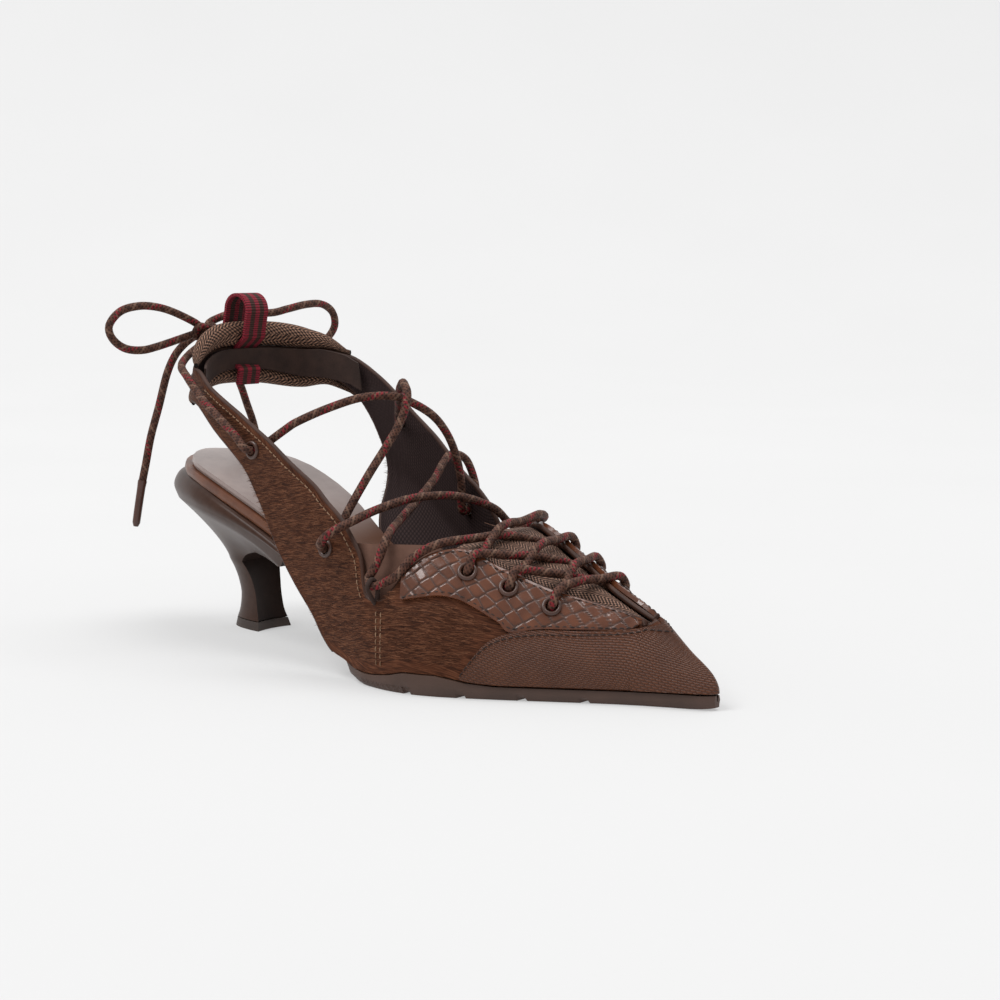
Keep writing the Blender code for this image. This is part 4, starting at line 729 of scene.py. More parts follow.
def scale_material():
    """Glossy scales with dull grooves, darkened with painted shade."""
    gloss, groove_dull, groove_shade = 0.22, 0.45, 0.8
    skin = Skin("scale_emboss", gloss, Coat_Weight=0.14, Coat_Roughness=0.12)
    groove = skin.node("ShaderNodeAttribute", "Fac", attribute_name="groove")
    tone = skin.mottle(skin.noise(160.0, detail=2.0), (0.082, 0.025, 0.0105), (0.14, 0.045, 0.019))
    # painted shade: the grooves' colour is blended towards dark brown
    colour = skin.blend(groove * groove_shade, tone, (0.03, 0.0105, 0.0055))
    fine = skin.noise(420.0, detail=2.0)
    return skin.finish(colour, fine, distance=0.25, strength=0.25,
                       roughness=groove.math("MULTIPLY_ADD", groove_dull, gloss))


def weave_material():
    """Embossed weave: rows of short staggered dashes along the shoe."""
    row_height, dash, stagger, slant, gap_shade = 0.9, 1.8, 0.42, 0.2, 0.65
    skin = Skin("woven_emboss", 0.42, Specular_IOR_Level=0.35)
    along, up, _ = skin.axes("UV")
    up = up + along * slant
    staggered = along + (up / row_height).math("FLOOR") * (dash * stagger)
    height = staggered.wave(dash) ** 0.5 * up.wave(row_height) ** 0.7
    base = skin.mottle(skin.noise(120.0), (0.098, 0.029, 0.01), (0.132, 0.042, 0.0155))
    # painted shade: the low gaps between the dashes are darkened
    colour = skin.blend((1.0 - height) * gap_shade, base, (0.03, 0.0095, 0.0045))
    return skin.finish(colour, height, distance=0.3)


def knit_material(name, light, dark, cell):
    """Open mesh: slanted cords with a row of gaps between each two, painted near-black as shade."""
    rung_pitch, rung_slant, rung_height = 0.8, 0.3, 0.6
    skin = Skin(name, 0.7, Specular_IOR_Level=0.25)
    along, up, _ = skin.axes("UV")
    cords = (along + up.math("PINGPONG", cell * 2.0)).wave(cell)
    rungs = (up - along * rung_slant).wave(cell * rung_pitch)
    height = (cords ** 1.4).math("MAXIMUM", rungs ** 3.0 * rung_height)
    thread = skin.blend(rungs ** 0.8, dark, light)
    # painted shade: near-black where the cords are low, in the gaps
    colour = skin.blend(height ** 2.2, (0.008, 0.0035, 0.0025), thread)
    return skin.finish(colour, height, distance=0.4)


def lace_material():
    """Round braid of brown cords that cross, some of them beige, with a dotted red tracer winding along."""
    pitch, cords, tracer_pitch, tracer_width, dot_pitch, dot_share = 1.5, 5.0, 17.0, 0.2, 1.6, 0.6
    skin = Skin("braided_lace", 0.65, Specular_IOR_Level=0.2)
    along, turn, _ = skin.axes("UV")
    steps, wound = along / pitch, turn * cords
    one, other = steps + wound, steps - wound
    height = one.wave(1.0).math("MAXIMUM", other.wave(1.0) * 0.85)
    light = (one * 0.2).math("FRACT") > 0.8
    shade = (other * 0.333).math("FRACT") > 0.667
    colour = skin.blend(shade * 0.7, (0.12, 0.052, 0.034), (0.04, 0.0165, 0.012))
    colour = skin.blend(light * 0.42, colour, (0.3, 0.18, 0.125))
    around = (turn + along / tracer_pitch).math("FRACT")
    dotted = (along / dot_pitch).math("FRACT") < dot_share
    colour = skin.blend((around < tracer_width) * dotted, colour, (0.24, 0.022, 0.028))
    # painted shade: darker between the cords, where the braid is low
    colour = skin.blend(height ** 1.2, (0.012, 0.0045, 0.0035), colour)
    return skin.finish(colour, height, distance=0.25)


def webbing_material():
    """Ribbed red webbing with two brown stripes."""
    rib, stripe_from, stripe_to, gap_shade = 0.85, 2.1, 4.2, 0.7
    skin = Skin("webbing", 0.7, Specular_IOR_Level=0.25)
    along, across, _ = skin.axes("UV")
    ribs = along.wave(rib)
    edge = across.math("PINGPONG", LOOP_WIDTH / 2)
    striped = (edge > stripe_from) * (edge < stripe_to)
    colour = skin.blend(striped, (0.27, 0.014, 0.03), (0.05, 0.022, 0.014))
    # painted shade: the hollows between the ribs are darkened
    colour = skin.blend((1.0 - ribs) * gap_shade, colour, (0.025, 0.003, 0.004))
    return skin.finish(colour, ribs, distance=0.3)


def lining_material():
    """Dark ribbed lining."""
    cell, roundness_of_rib = 1.25, 0.6
    skin = Skin("ribbed_lining", 0.8, Specular_IOR_Level=0.2)
    along, up, _ = skin.axes("UV")
    height = along.wave(cell) ** roundness_of_rib * up.wave(cell) ** roundness_of_rib
    # painted shade: the ramp runs darker in the hollows between the ribs
    colour = skin.ramp(height, (0.1, (0.014, 0.0075, 0.0075)), (0.9, (0.048, 0.028, 0.0265)))
    return skin.finish(colour, height, distance=0.22, strength=0.7)


def grained_material(name, dark, light, roughness, scale, depth, **sockets):
    """Leather, suede or rubber: soft mottling and a fine grain."""
    mottle_share = 0.12
    skin = Skin(name, roughness, **sockets)
    colour = skin.mottle(skin.noise(scale * mottle_share), dark, light)
    return skin.finish(colour, skin.noise(scale, detail=4.0), distance=depth, strength=0.5)


def sock_material():
    """Satin sock at the heel that darkens to brown towards the front: painted shade under the instep."""
    shade_from_back, full_shade_back = 184.0, 158.0
    skin = Skin("sock_leather", 0.32)
    start, end = (SHIFT.x - shade_from_back) * MM, (SHIFT.x - full_shade_back) * MM
    share = (skin.axes("Object")[0] - start) / (end - start)
    satin = skin.mottle(skin.noise(260.0), (0.26, 0.2, 0.185), (0.3, 0.235, 0.215))
    # painted shade: the sock runs to dark brown where the upper covers it
    colour = skin.blend(skin.node("ShaderNodeClamp", 0, {"Value": share}), satin, (0.11, 0.05, 0.03))
    return skin.finish(colour, skin.noise(2200.0, detail=4.0), distance=0.05, strength=0.5)


def rubber_material():
    """Sole rubber with the ribbed patch moulded low on its side at the ball."""
    patch_front, patch_rear, patch_top, rib, grain_share = 88.0, 112.0, 2.6, 1.3, 0.15
    skin = Skin("sole_rubber", 0.5)
    x, _, z = skin.axes("Object")
    patch = (x < (SHIFT.x - patch_front) * MM) * (x > (SHIFT.x - patch_rear) * MM)
    knurl = (x + z).wave(rib * MM) * (x - z).wave(rib * MM) * (patch * (z < patch_top * MM))
    colour = skin.mottle(skin.noise(90.0), (0.056, 0.0275, 0.018), (0.078, 0.039, 0.0265))
    return skin.finish(colour, skin.noise(1800.0) * grain_share + knurl, distance=0.4, strength=0.7)


# Grained finishes: two tones, roughness, grain per metre and its depth, and sockets of the shader
GrainRow = namedtuple("GrainRow", "key name dark light roughness scale depth sockets")
GRAINED = table(GrainRow, [
    ("suede", "suede_band", (0.026, 0.0125, 0.009), (0.045, 0.022, 0.0155), 0.9, 1500.0, 0.2, {}),
    ("lip", "lip_leather", (0.115, 0.058, 0.041), (0.16, 0.084, 0.061), 0.85, 1600.0, 0.15,
     {"Specular_IOR_Level": 0.2}),
    ("fold", "folded_leather", (0.034, 0.0125, 0.007), (0.06, 0.0225, 0.012), 0.55, 1400.0, 0.08,
     {"Specular_IOR_Level": 0.3}),
    ("rand", "rand_leather", (0.1, 0.033, 0.0145), (0.16, 0.057, 0.026), 0.38, 1300.0, 0.07, {}),
    ("heel", "heel_plastic", (0.042, 0.0185, 0.0115), (0.055, 0.026, 0.017), 0.34, 2500.0, 0.02,
     {"Specular_IOR_Level": 0.17}),
    # the heel's plastic again, darker: painted shade on the hollow breast
    ("breast", "heel_breast", (0.016, 0.0075, 0.005), (0.022, 0.0105, 0.0075), 0.55, 2500.0, 0.02,
     {"Specular_IOR_Level": 0.15}),
    ("tip", "tip_rubber", (0.034, 0.02, 0.0145), (0.05, 0.03, 0.0225), 0.55, 1600.0, 0.06, {}),
    ("eyelet", "eyelet_enamel", (0.05, 0.019, 0.0115), (0.075, 0.03, 0.018), 0.36, 900.0, 0.02,
     {"Coat_Weight": 0.22, "Coat_Roughness": 0.15}),
    ("thread", "thread", (0.17, 0.088, 0.045), (0.33, 0.2, 0.12), 0.7, 3000.0, 0.05, {}),
    ("dark_thread", "dark_thread", (0.012, 0.005, 0.003), (0.03, 0.012, 0.007), 0.7, 3000.0, 0.05, {}),
    ("aglet", "aglet_sleeve", (0.06, 0.023, 0.016), (0.09, 0.037, 0.026), 0.3, 1200.0, 0.02, {}),
    ("floor", "studio_floor", (0.36, 0.36, 0.36), (0.37, 0.37, 0.37), 0.9, 30.0, 0.0,
     {"Specular_IOR_Level": 0.0, "Emission_Color": (1.0, 1.0, 1.0, 1.0), "Emission_Strength": FLOOR_GLOW}),
])


def make_materials():
    looks = {row.key: grained_material(*row[1:-1], **row.sockets) for row in GRAINED}
    looks["tongue"] = knit_material("tongue_mesh", (0.42, 0.24, 0.17), (0.045, 0.016, 0.01), 1.2)
    looks["roll"] = knit_material("roll_knit", (0.43, 0.235, 0.155), (0.04, 0.013, 0.0075), 1.7)
    for key, make in (("hair", hair_material), ("strand", strand_material), ("scale", scale_material),
                      ("weave", weave_material), ("lace", lace_material), ("webbing", webbing_material),
                      ("lining", lining_material), ("sock", sock_material), ("rubber", rubber_material)):
        looks[key] = make()
    return looks


def build(name, points, faces, finishes, slots=None, uvs=None, sharp=SHARP, replaced=(), record_slot=None):
    """Piece of the looks: a mesh that rides on the shoe."""
    mesh = bpy.data.meshes.new(name)
    mesh.from_pydata([to_row(p) for p in points], [], faces)
    for item in finishes:
        mesh.materials.append(item)
    if slots and len(finishes) > 1:
        mesh.polygons.foreach_set("material_index", slots)
    if uvs:
        layer = mesh.uv_layers.new(name="UVMap")
        layer.data.foreach_set("uv", [c for face in uvs for uv in face for c in uv])
    mesh.shade_smooth()
    mesh.set_sharp_from_angle(angle=math.radians(sharp))
    piece = bpy.data.objects.new(name, mesh)
    bpy.context.scene.collection.objects.link(piece)
    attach(piece, "root")
    if replaced:
        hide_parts(*replaced)
    return piece


def spline(a, b, c, d, s):
    bend = (2 * a - 5 * b + 4 * c - d) * s * s + (3 * b - a - 3 * c + d) * s ** 3
    return 0.5 * ((2 * b) + (c - a) * s + bend)


def finer_line(line, steps, closed=False):
    """More points on a smooth curve through a line's own points."""
    count = len(line)
    out = []
    for k in range(count if closed else count - 1):
        b, c = line[k], line[(k + 1) % count]
        a = line[k - 1] if closed or k else b * 2 - c
        d = line[(k + 2) % count] if closed or k + 2 < count else c * 2 - b
        out += [spline(a, b, c, d, i / steps) for i in range(steps)]
    return out if closed else out + [line[-1]]


def finer(grid, along, rise, closed=False):
    """Grid of points refined along both of its directions."""
    columns = [finer_line(line, rise) for line in grid]
    rows = [finer_line([line[m] for line in columns], along, closed) for m in range(len(columns[0]))]
    return [list(line) for line in zip(*rows)]


def travelled(points):
    out = [0.0]
    for a, b in zip(points, points[1:]):
        out.append(out[-1] + (b - a).length)
    return out


def smooth_route(knots, spacing):
    """Evenly spaced points on a smooth curve through a route's own points."""
    dense = finer_line(knots, ROUTE_STEPS)
    far = travelled(dense)
    count = max(int(far[-1] / spacing), 2)
    route, at = [], 0
    for k in range(count + 1):
        goal = far[-1] * k / count
        while at < len(dense) - 2 and far[at + 1] < goal:
            at += 1
        span = max(far[at + 1] - far[at], TINY)
        route.append(dense[at].lerp(dense[at + 1], min((goal - far[at]) / span, 1.0)))
    return route


def sheet(name, outer, inner, finishes, closed=False, skip=None, **words):
    """Wall between two grids; its finishes are those of the outside, the inside and the edges."""
    count, rows = len(outer), len(outer[0])
    ring = outer + [outer[0]] if closed else outer
    u = travelled([line[rows // 2] for line in ring])
    v = [travelled(line) for line in ring]
    faces, slots, uvs = [], [], []

    def put(slot, *corners):
        faces.append(tuple(deep * count * rows + (k % count) * rows + m for k, m, deep in corners))
        slots.append(slot)
        uvs.append([(u[k], v[k][m]) for k, m, deep in corners])

    top, last = rows - 1, count - 1
    for k in range(count if closed else last):
        for m in range(top):
            if skip and skip((ring[k][m] + ring[k + 1][m + 1]) / 2):
                continue
            put(0, (k, m, 0), (k + 1, m, 0), (k + 1, m + 1, 0), (k, m + 1, 0))
            put(1, (k, m + 1, 1), (k + 1, m + 1, 1), (k + 1, m, 1), (k, m, 1))
        put(2, (k + 1, 0, 0), (k, 0, 0), (k, 0, 1), (k + 1, 0, 1))
        put(2, (k, top, 0), (k + 1, top, 0), (k + 1, top, 1), (k, top, 1))
    for m in range(0 if closed else top):
        put(2, (0, m, 0), (0, m + 1, 0), (0, m + 1, 1), (0, m, 1))
        put(2, (last, m + 1, 0), (last, m, 0), (last, m, 1), (last, m + 1, 1))
    points = [p for line in outer + inner for p in line]
    return build(name, points, faces, finishes, slots, uvs, **words)


def loft(rings, length, girth=1.0, closed=False):
    """Skin through rings, with two ends unless it is closed: points, faces, and uvs along and around."""
    count, sides = len(rings), len(rings[0])
    faces, uvs = [], []
    for k in range(count if closed else count - 1):
        a, b = k * sides, (k + 1) % count * sides
        for i in range(sides):
            j = (i + 1) % sides
            near, far = girth * i / sides, girth * (i + 1) / sides
            faces.append((a + i, a + j, b + j, b + i))
            uvs.append([(length[k], near), (length[k], far), (length[k + 1], far), (length[k + 1], near)])
    if not closed:
        for k, order in ((0, range(sides - 1, -1, -1)), (count - 1, range(sides))):
            faces.append(tuple(k * sides + i for i in order))
            uvs.append([(length[k], girth * i / sides) for i in order])
    return [p for ring in rings for p in ring], faces, uvs


def circle(steps):
    return [2 * math.pi * i / steps for i in range(steps)]


def tube_faces(path, radius, sides=10, closed=False):
    """Round cord along a path, with uvs in millimetres along and in turns around."""
    count = len(path)
    normal = None
    rings = []
    for k in range(count):
        before = path[(k - 1) % count] if closed or k else path[0]
        after = path[(k + 1) % count] if closed or k < count - 1 else path[-1]
        tangent = (after - before).normalized()
        if normal is None:
            normal = tangent.orthogonal().normalized()
        normal = (normal - tangent * normal.dot(tangent)).normalized()
        aside = tangent.cross(normal)
        size = radius(k / (count - 1)) if callable(radius) else radius
        rings.append([path[k] + (normal * math.cos(a) + aside * math.sin(a)) * size for a in circle(sides)])
    return loft(rings, travelled(path + path[:1] if closed else path), closed=closed)


def joined(name, parts, finish, record_slot, replaced=()):
    """One piece of one or more skins."""
    points, faces, uvs = [], [], []
    for more_points, more_faces, more_uvs in parts:
        shift = len(points)
        points += more_points
        faces += [tuple(i + shift for i in face) for face in more_faces]
        uvs += more_uvs
    return build(name, points, faces, [finish], None, uvs, ROUND_SHARP, replaced, record_slot)


def tube(name, path, radius, finish, sides, record_slot, replaced=(), closed=False):
    return joined(name, [tube_faces(path, radius, sides, closed)], finish, record_slot, replaced)


def near_tree(spots):
    tree = kdtree.KDTree(len(spots))
    for index, spot in enumerate(spots):
        tree.insert(spot, index)
    tree.balance()
    return tree


EYELET_SPOTS = [on_wall(row, 0.0) for row in STAY_EYELETS + QUARTER_EYELETS]
STAY_SPOTS = [on_wall(row, OVERLAY_GAP + OVERLAY_THICKNESS) for row in STAY_EYELETS]


def in_eyelet(point):
    return any((point - spot).length < EYELET_HOLE + HOLE_MARGIN for spot in EYELET_SPOTS)


def in_stay_eyelet(point):
    return any((point - spot).length < EYELET_HOLE + STAY_HOLE_MARGIN for spot in STAY_SPOTS)


def make_upper(looks):
    """The upper's wall with hair outside and ribbed lining inside, and its folded edges."""
    outer = finer(upper_grid(), along=3, rise=3, closed=True)
    inner = offset_grid(outer, -WALL_THICKNESS, closed=True)
    middle = [[(a[m] + b[m]) / 2 for a, b in zip(outer, inner)] for m in (0, -1)]
    for outside, inside in zip(outer, inner):
        inside[0].z = max(inside[0].z, outside[0].z)
    sheet("shoe_upper", outer, inner, [looks["hair"], looks["lining"], looks["fold"]], True, in_eyelet,
          replaced=["upper"], record_slot="hair_leather")
    low, top = middle
    tube("edge_top", top, BINDING_RADIUS, looks["fold"], EDGE_SIDES, "hair_leather", closed=True)
    start = next(k for k, p in enumerate(low) if p.y < 0 and p.z < WALL_BASE + LATERAL_END)
    end = max(k for k, p in enumerate(low) if p.y > 0 and p.z < sole_edge(-p.x) + MEDIAL_END)
    tube("edge_low", low[end:] + low[:start], BINDING_RADIUS, looks["fold"], EDGE_SIDES, "hair_leather")
    return outer


def make_overlay(name, fine, finish, looks, relief=None, **words):
    """Panel on the upper; relief changes the outer grid's height."""
    bottom = offset_grid(fine, PANEL_SEAT)
    top = offset_grid(fine, OVERLAY_GAP + OVERLAY_THICKNESS)
    grooves = relief(fine, top) if relief else None
    finishes = [looks[finish], looks["fold"], looks[finish]]
    piece = sheet(name, top, bottom, finishes, False, in_stay_eyelet, **words)
    if grooves:
        store = piece.data.attributes.new("groove", "FLOAT", "POINT")
        store.data.foreach_set("value", grooves + [0.0] * len(grooves))


def scale_relief(fine, top):
    """Flat scales in slanted rows, pressed into the outer grid; gives each point's groove share."""
    dice = random.Random(SCALE_SEED)
    turn_cos, turn_sin = math.cos(SCALE_TURN), math.sin(SCALE_TURN)
    reach = int(SCALE_FIELD / SCALE_SIZE)
    seeds = []
    for j in range(-reach, reach):
        for i in range(-reach, reach):
            across = (i + SCALE_STAGGER * (j % 2)) * SCALE_SIZE + dice.uniform(-SCALE_WANDER, SCALE_WANDER)
            along = j * SCALE_SIZE * SCALE_ROW + dice.uniform(-ROW_WANDER, ROW_WANDER)
            leans = [dice.uniform(-SCALE_TILT, SCALE_TILT) for _ in range(2)]
            spot = (across * turn_cos - along * turn_sin, across * turn_sin + along * turn_cos, 0.0)
            seeds.append((spot, leans))
    tree = near_tree([spot for spot, leans in seeds])
    grooves = []
    for k, (line, low) in enumerate(zip(top, fine)):
        for m, point in enumerate(line):
            u, v = -point.x, (point.z - abs(point.y - wall_spine(-point.x))) * SCALE_SLOPE
            first, second = tree.find_n((u, v, 0.0), 2)
            pillow = ease((second[2] - first[2]) / SCALE_GROOVE)
            spot, leans = seeds[first[1]]
            tilt = leans[0] * (u - spot[0]) + leans[1] * (v - spot[1])
            fade = min(min(m, len(line) - 1 - m, k, len(top) - 1 - k) / SCALE_FADE, 1.0)
            line[m] = point + (point - low[m]).normalized() * fade * (SCALE_RISE * pillow + tilt)
            grooves.append((1.0 - pillow) * fade)
    return grooves


def cap_lines():
    """Toe cap, column by column from the lateral seam round the nose to the medial seam."""
    fans = [i / FAN_STEPS for i in range(1, FAN_STEPS + 1)]
    sides = {}
    for side, rows in CAP_SEAM.items():
        lines = [fan_column(side, s, CAP_START, mix(VISUAL_NOSE_END, VISUAL_SIDE_END, s ** 2)) for s in fans]
        for i, row in enumerate(rows, start=1):
            end = row.back - CAP_LEAN
            low_back = min(mix(EDGES[side][0].low_back, end, ease(i / len(rows)) ** 0.5), end)
            lines.append(panel_line(side, low_back, wall_base(low_back) + CAP_LIFT, row.back, row.up))
        sides[side] = lines
    nose = fan_column(LATERAL, 0.0, CAP_START, VISUAL_NOSE_END)
    return sides[LATERAL][::-1] + [nose] + sides[MEDIAL]


def stay_lines(side):
    """Eyestay from its lower edge, which meets the cap's seam, to the throat's edge."""
    top = column([row for row in EDGES[side] if row.low_up is None], "top_up", "top_back")
    seam = column(CAP_SEAM[side], "up")
    tip_up = top(STAY_TIP + TIP_LEAN) - STAY_EDGE_MARGIN
    lines = [panel_line(side, STAY_TIP, tip_up - TIP_HEIGHT, STAY_TIP + TIP_LEAN, tip_up)]
    for row in STAY_LOWER[side]:
        low_up = min(row.up, seam(row.back) + SEAM_GAP) if row.back < CAP_SEAM[side][3].back else row.up
        top_back = row.back + STAY_LEAN
        top_up = max(top(top_back) - VISUAL_MARGIN, row.up + STAY_LEAST)
        lines.append(panel_line(side, row.back, low_up, top_back, top_up))
    return lines[::-1] if side == LATERAL else lines


def make_panels(looks):
    make_overlay("cap_panel", finer(cap_lines(), along=5, rise=4), "weave", looks,
                 replaced=["toe_cap"], record_slot="cap_leather")
    for side, word in HANDS:
        fine = finer(stay_lines(side), along=20, rise=10)
        make_overlay(f"stay_panel_{word}", fine, "scale", looks, scale_relief,
                     replaced=[f"eyestay_{word}"], record_slot="embossed_leather")


def stitch_parts(path, lift):
    """Short arched threads along a path of (point, outward normal) pairs."""
    spots = [p + n * lift for p, n in path]
    far = travelled(spots)
    parts = []
    start = STITCH_GAP
    while start + STITCH_LENGTH < far[-1]:
        line = []
        for share in STITCH_SHARES:
            goal = start + STITCH_LENGTH * share
            k = min(max(i for i, way in enumerate(far) if way <= goal), len(far) - 2)
            spot = spots[k].lerp(spots[k + 1], (goal - far[k]) / max(far[k + 1] - far[k], TINY))
            line.append(spot + path[k][1] * (STITCH_ARCH * math.sin(share * math.pi) - STITCH_SINK))
        parts.append(tube_faces(line, STITCH_RADIUS, STITCH_SIDES))
        start += STITCH_LENGTH + STITCH_GAP
    return parts


def wall_path(side, spots):
    """Points of the upper's outer face with their normals, through (back, up) spots."""
    flat = finer_line([Vector((back, up)) for back, up in spots], 6)
    return [(wall_at_height(side, p.x, p.y), wall_normal(side, p.x, p.y)) for p in flat]


def panel_path(lines, index, lift):
    """A row of points on a panel's face, with rough outward normals."""
    out = []
    for line in offset_grid(lines, OVERLAY_GAP + OVERLAY_THICKNESS + lift):
        point = line[index]
        centre = place(-point.x, wall_spine(-point.x), max(point.z - EDGE_CENTRE_DROP, 0.0))
        out.append((point, (point - centre).normalized()))
    return out


def make_stitches(looks):
    """Rows of thread along the cap's seam, the eyestays' edges and the quarters."""
    dark = stitch_parts(panel_path(finer(cap_lines(), along=5, rise=4), -3, 0.0), CAP_STITCH_LIFT)
    light = []
    for side, word in HANDS:
        stay = finer(stay_lines(side), along=8, rise=6)
        for index in (3, -4):
            dark += stitch_parts(panel_path(stay, index, SCALE_RISE), STAY_STITCH_LIFT)
        front = [(row.top_back + QUARTER_IN, row.top_up - QUARTER_DROP) for row in EDGES[side][QUARTER_ROWS]]
        light += stitch_parts(wall_path(side, front), QUARTER_STITCH_LIFT)
        for shift in SEAM_SHIFTS:
            seam = [(back + shift, up) for back, up in SEAM_SPOTS]
            light += stitch_parts(wall_path(side, seam), SEAM_STITCH_LIFT)
    joined("stitches_panels", dark, looks["dark_thread"], "embossed_leather")
    joined("stitches_quarters", light, looks["thread"], "hair_leather")


def make_hair(outer, looks):
    """Short hairs that lie along the shoe on the upper's outer face, as thin blades."""
    dice = random.Random(HAIR_SEED)
    heights = [travelled(line) for line in outer]
    after = outer[1:] + outer[:1]
    cells, sizes = [], []
    for k, (a, b) in enumerate(zip(outer, after)):
        for m in range(len(a) - 1):
            cells.append((k, m))
            sizes.append((b[m] - a[m]).length * (a[m + 1] - a[m]).length)
    covers = [finer(cap_lines(), along=2, rise=2)]
    covers += [finer(stay_lines(side), along=3, rise=2) for side, word in HANDS]
    covered = near_tree([p for grid in covers for line in grid for p in line])
    points, faces, uvs = [], [], []
    for k, m in dice.choices(cells, weights=sizes, k=HAIR_COUNT):
        a, b = outer[k], after[k]
        s, t = dice.random(), dice.random()
        root = a[m].lerp(b[m], s).lerp(a[m + 1].lerp(b[m + 1], s), t)
        high = mix(heights[k][m], heights[k][m + 1], t)
        if high < HAIR_LOW_MARGIN or high > heights[k][-1] - HAIR_TOP_MARGIN:
            continue
        if covered.find(root)[2] < HAIR_CLEAR or in_eyelet(root):
            continue
        normal = (b[m] - a[m]).cross(a[m + 1] - a[m]).normalized()
        heelward = Vector((-1.0, 0.0, HAIR_DROOP + dice.uniform(-HAIR_DROOP_SPREAD, HAIR_DROOP_SPREAD)))
        lie = (heelward - normal * heelward.dot(normal)).normalized()
        lie = (lie + normal.cross(lie) * dice.uniform(-HAIR_TURN_SPREAD, HAIR_TURN_SPREAD)).normalized()
        length = HAIR_LENGTH * dice.uniform(*HAIR_LENGTHS)
        lift = normal * length * HAIR_TILT * dice.uniform(*HAIR_LIFTS)
        half = normal.cross(lie) * HAIR_WIDTH / 2
        middle = root + lie * length * 0.5 + lift * HAIR_MIDDLE_LIFT
        tip = root + lie * length + lift * HAIR_TIP_LIFT
        n = len(points)
        points += [root - half, root + half, middle - half * HAIR_TAPER, middle + half * HAIR_TAPER, tip]
        faces += [(n, n + 1, n + 3, n + 2), (n + 2, n + 3, n + 4)]
        tone = (dice.random(), 0.0)
        uvs += [[tone] * 4, [tone] * 3]
    build("hair_nap", points, faces, [looks["strand"]], None, uvs, record_slot="hair_leather")


def make_tongue(looks):
    """Mesh strip under the lacing, low enough for the lace to pass over it under both edges."""
    lines = []
    for i in range(TONGUE_STATIONS):
        back = mix(TONGUE_END + TONGUE_TAIL, TONGUE_START, i / (TONGUE_STATIONS - 1))
        nose = ease((TONGUE_NOSE - back) / TONGUE_NOSE_REACH)
        depth = {LATERAL: mix(VISUAL_TONGUE_DEPTH, TONGUE_DEPTH, nose)}
        depth[MEDIAL] = min(VISUAL_TONGUE_DEPTH - TONGUE_TILT, depth[LATERAL])
        rise = mix(VISUAL_TONGUE_CROWN, TONGUE_CROWN, nose)
        edge, under = {}, {}
        for side, word in HANDS:
            top = min(throat_edge[side](back), wall_ridge(back) - 1.0)
            for row, up in ((edge, top), (under, top - TONGUE_LAP)):
                row[side] = wall_at_height(side, back, up) - wall_normal(side, back, up) * depth[side]
        line = [under[LATERAL], edge[LATERAL]]
        for s in QUARTERS[1:-1]:
            line.append(edge[LATERAL].lerp(edge[MEDIAL], s) + Vector((0, 0, rise * math.sin(s * math.pi))))
        lines.append(line + [edge[MEDIAL], under[MEDIAL]])
    fine = finer(lines, along=4, rise=5)
    inner = offset_grid(fine, -TONGUE_THICKNESS)
    sheet("tongue_mesh", fine, inner, [looks["tongue"], looks["lining"], looks["fold"]],
          replaced=["tongue"], record_slot="mesh")


def tab_columns(reach):
    """Columns of the sling from its lateral corner round the heel and some rows along the medial strap."""
    columns = [back_column(LATERAL, angle) for angle in BACK_ANGLES + [90]]
    columns += [back_column(MEDIAL, angle) for angle in BACK_ANGLES[::-1]]
    return columns + [wall_column(MEDIAL, row) for row in EDGES[MEDIAL][:-reach - 1:-1]]


def make_heel_tab(looks):
    """Padded knit rolls at the back of the sling, and the suede band between them on the inside."""
    for row in ROLLS:
        end = -1 if row.direction > 0 else 0
        edges = finer_line([line[end] for line in tab_columns(ROLL_REACH)], 6)
        last = len(edges) - 1
        path, rings = [], []
        for k, edge in enumerate(edges):
            along = edges[min(k + 1, last)] - edges[max(k - 1, 0)]
            inward = along.cross(Vector((0, 0, -1))).normalized()
            inward *= 1 if inward.x > 0 else -1
            taper = max((1 - abs(2 * k / last - 1) ** 3) ** 0.7, ROLL_LEAST)
            high = Vector((0, 0, row.half_high * taper))
            lift = row.direction * (ROLL_GAP + high.z)
            centre = edge + inward * (WALL_THICKNESS / 2) + Vector((SLING_LEAN * lift, 0, lift))
            thick = inward * (row.half_thick * taper)
            rings.append([centre + thick * math.cos(a) + high * math.sin(a) for a in circle(ROLL_SIDES)])
            path.append(centre)
        points, faces, uvs = loft(rings, travelled(path), math.pi * (row.half_thick + row.half_high))
        uvs[-2:] = [[(0.0, 0.0)] * ROLL_SIDES] * 2
        piece = build(row.name + "_knit", points, faces, [looks["roll"]], None, uvs, ROUND_SHARP, [row.name],
                      "mesh")
    lines = []
    for line in tab_columns(BAND_REACH):
        low = line[-1].lerp(line[0], min(1.0, BAND_HIGH / (line[-1] - line[0]).length))
        lines.append([low.lerp(line[-1], s) for s in BAND_SHARES])
    fine = finer(lines, along=5, rise=3)
    face = offset_grid(fine, BAND_INSET)
    back = offset_grid(fine, BAND_INSET - BAND_THICKNESS)
    sheet("heel_band", face, back, [looks["suede"]], record_slot="hair_leather")


def make_lips(looks):
    """Soft leather lip that stands inside the wall behind each notch."""
    for side, word in HANDS:
        rows = LIP_TOP[side]
        lines = []
        for i in range(LIP_STATIONS):
            back = mix(rows[-1].back, rows[0].back, i / (LIP_STATIONS - 1))
            top = column(rows, "up")(back)
            low = min(throat_edge[side](back), top) - LIP_LAP
            lines.append([wall_at_height(side, back, mix(low, top, s)) for s in QUARTERS])
        fine = finer(lines if side == LATERAL else lines[::-1], along=3, rise=3)
        outer = offset_grid(fine, -LIP_DEPTH)
        inner = offset_grid(fine, -LIP_DEPTH - LIP_THICKNESS)
        sheet(f"notch_lip_{word}", outer, inner, [looks["lip"], looks["lining"], looks["lip"]],
              record_slot="hair_leather")


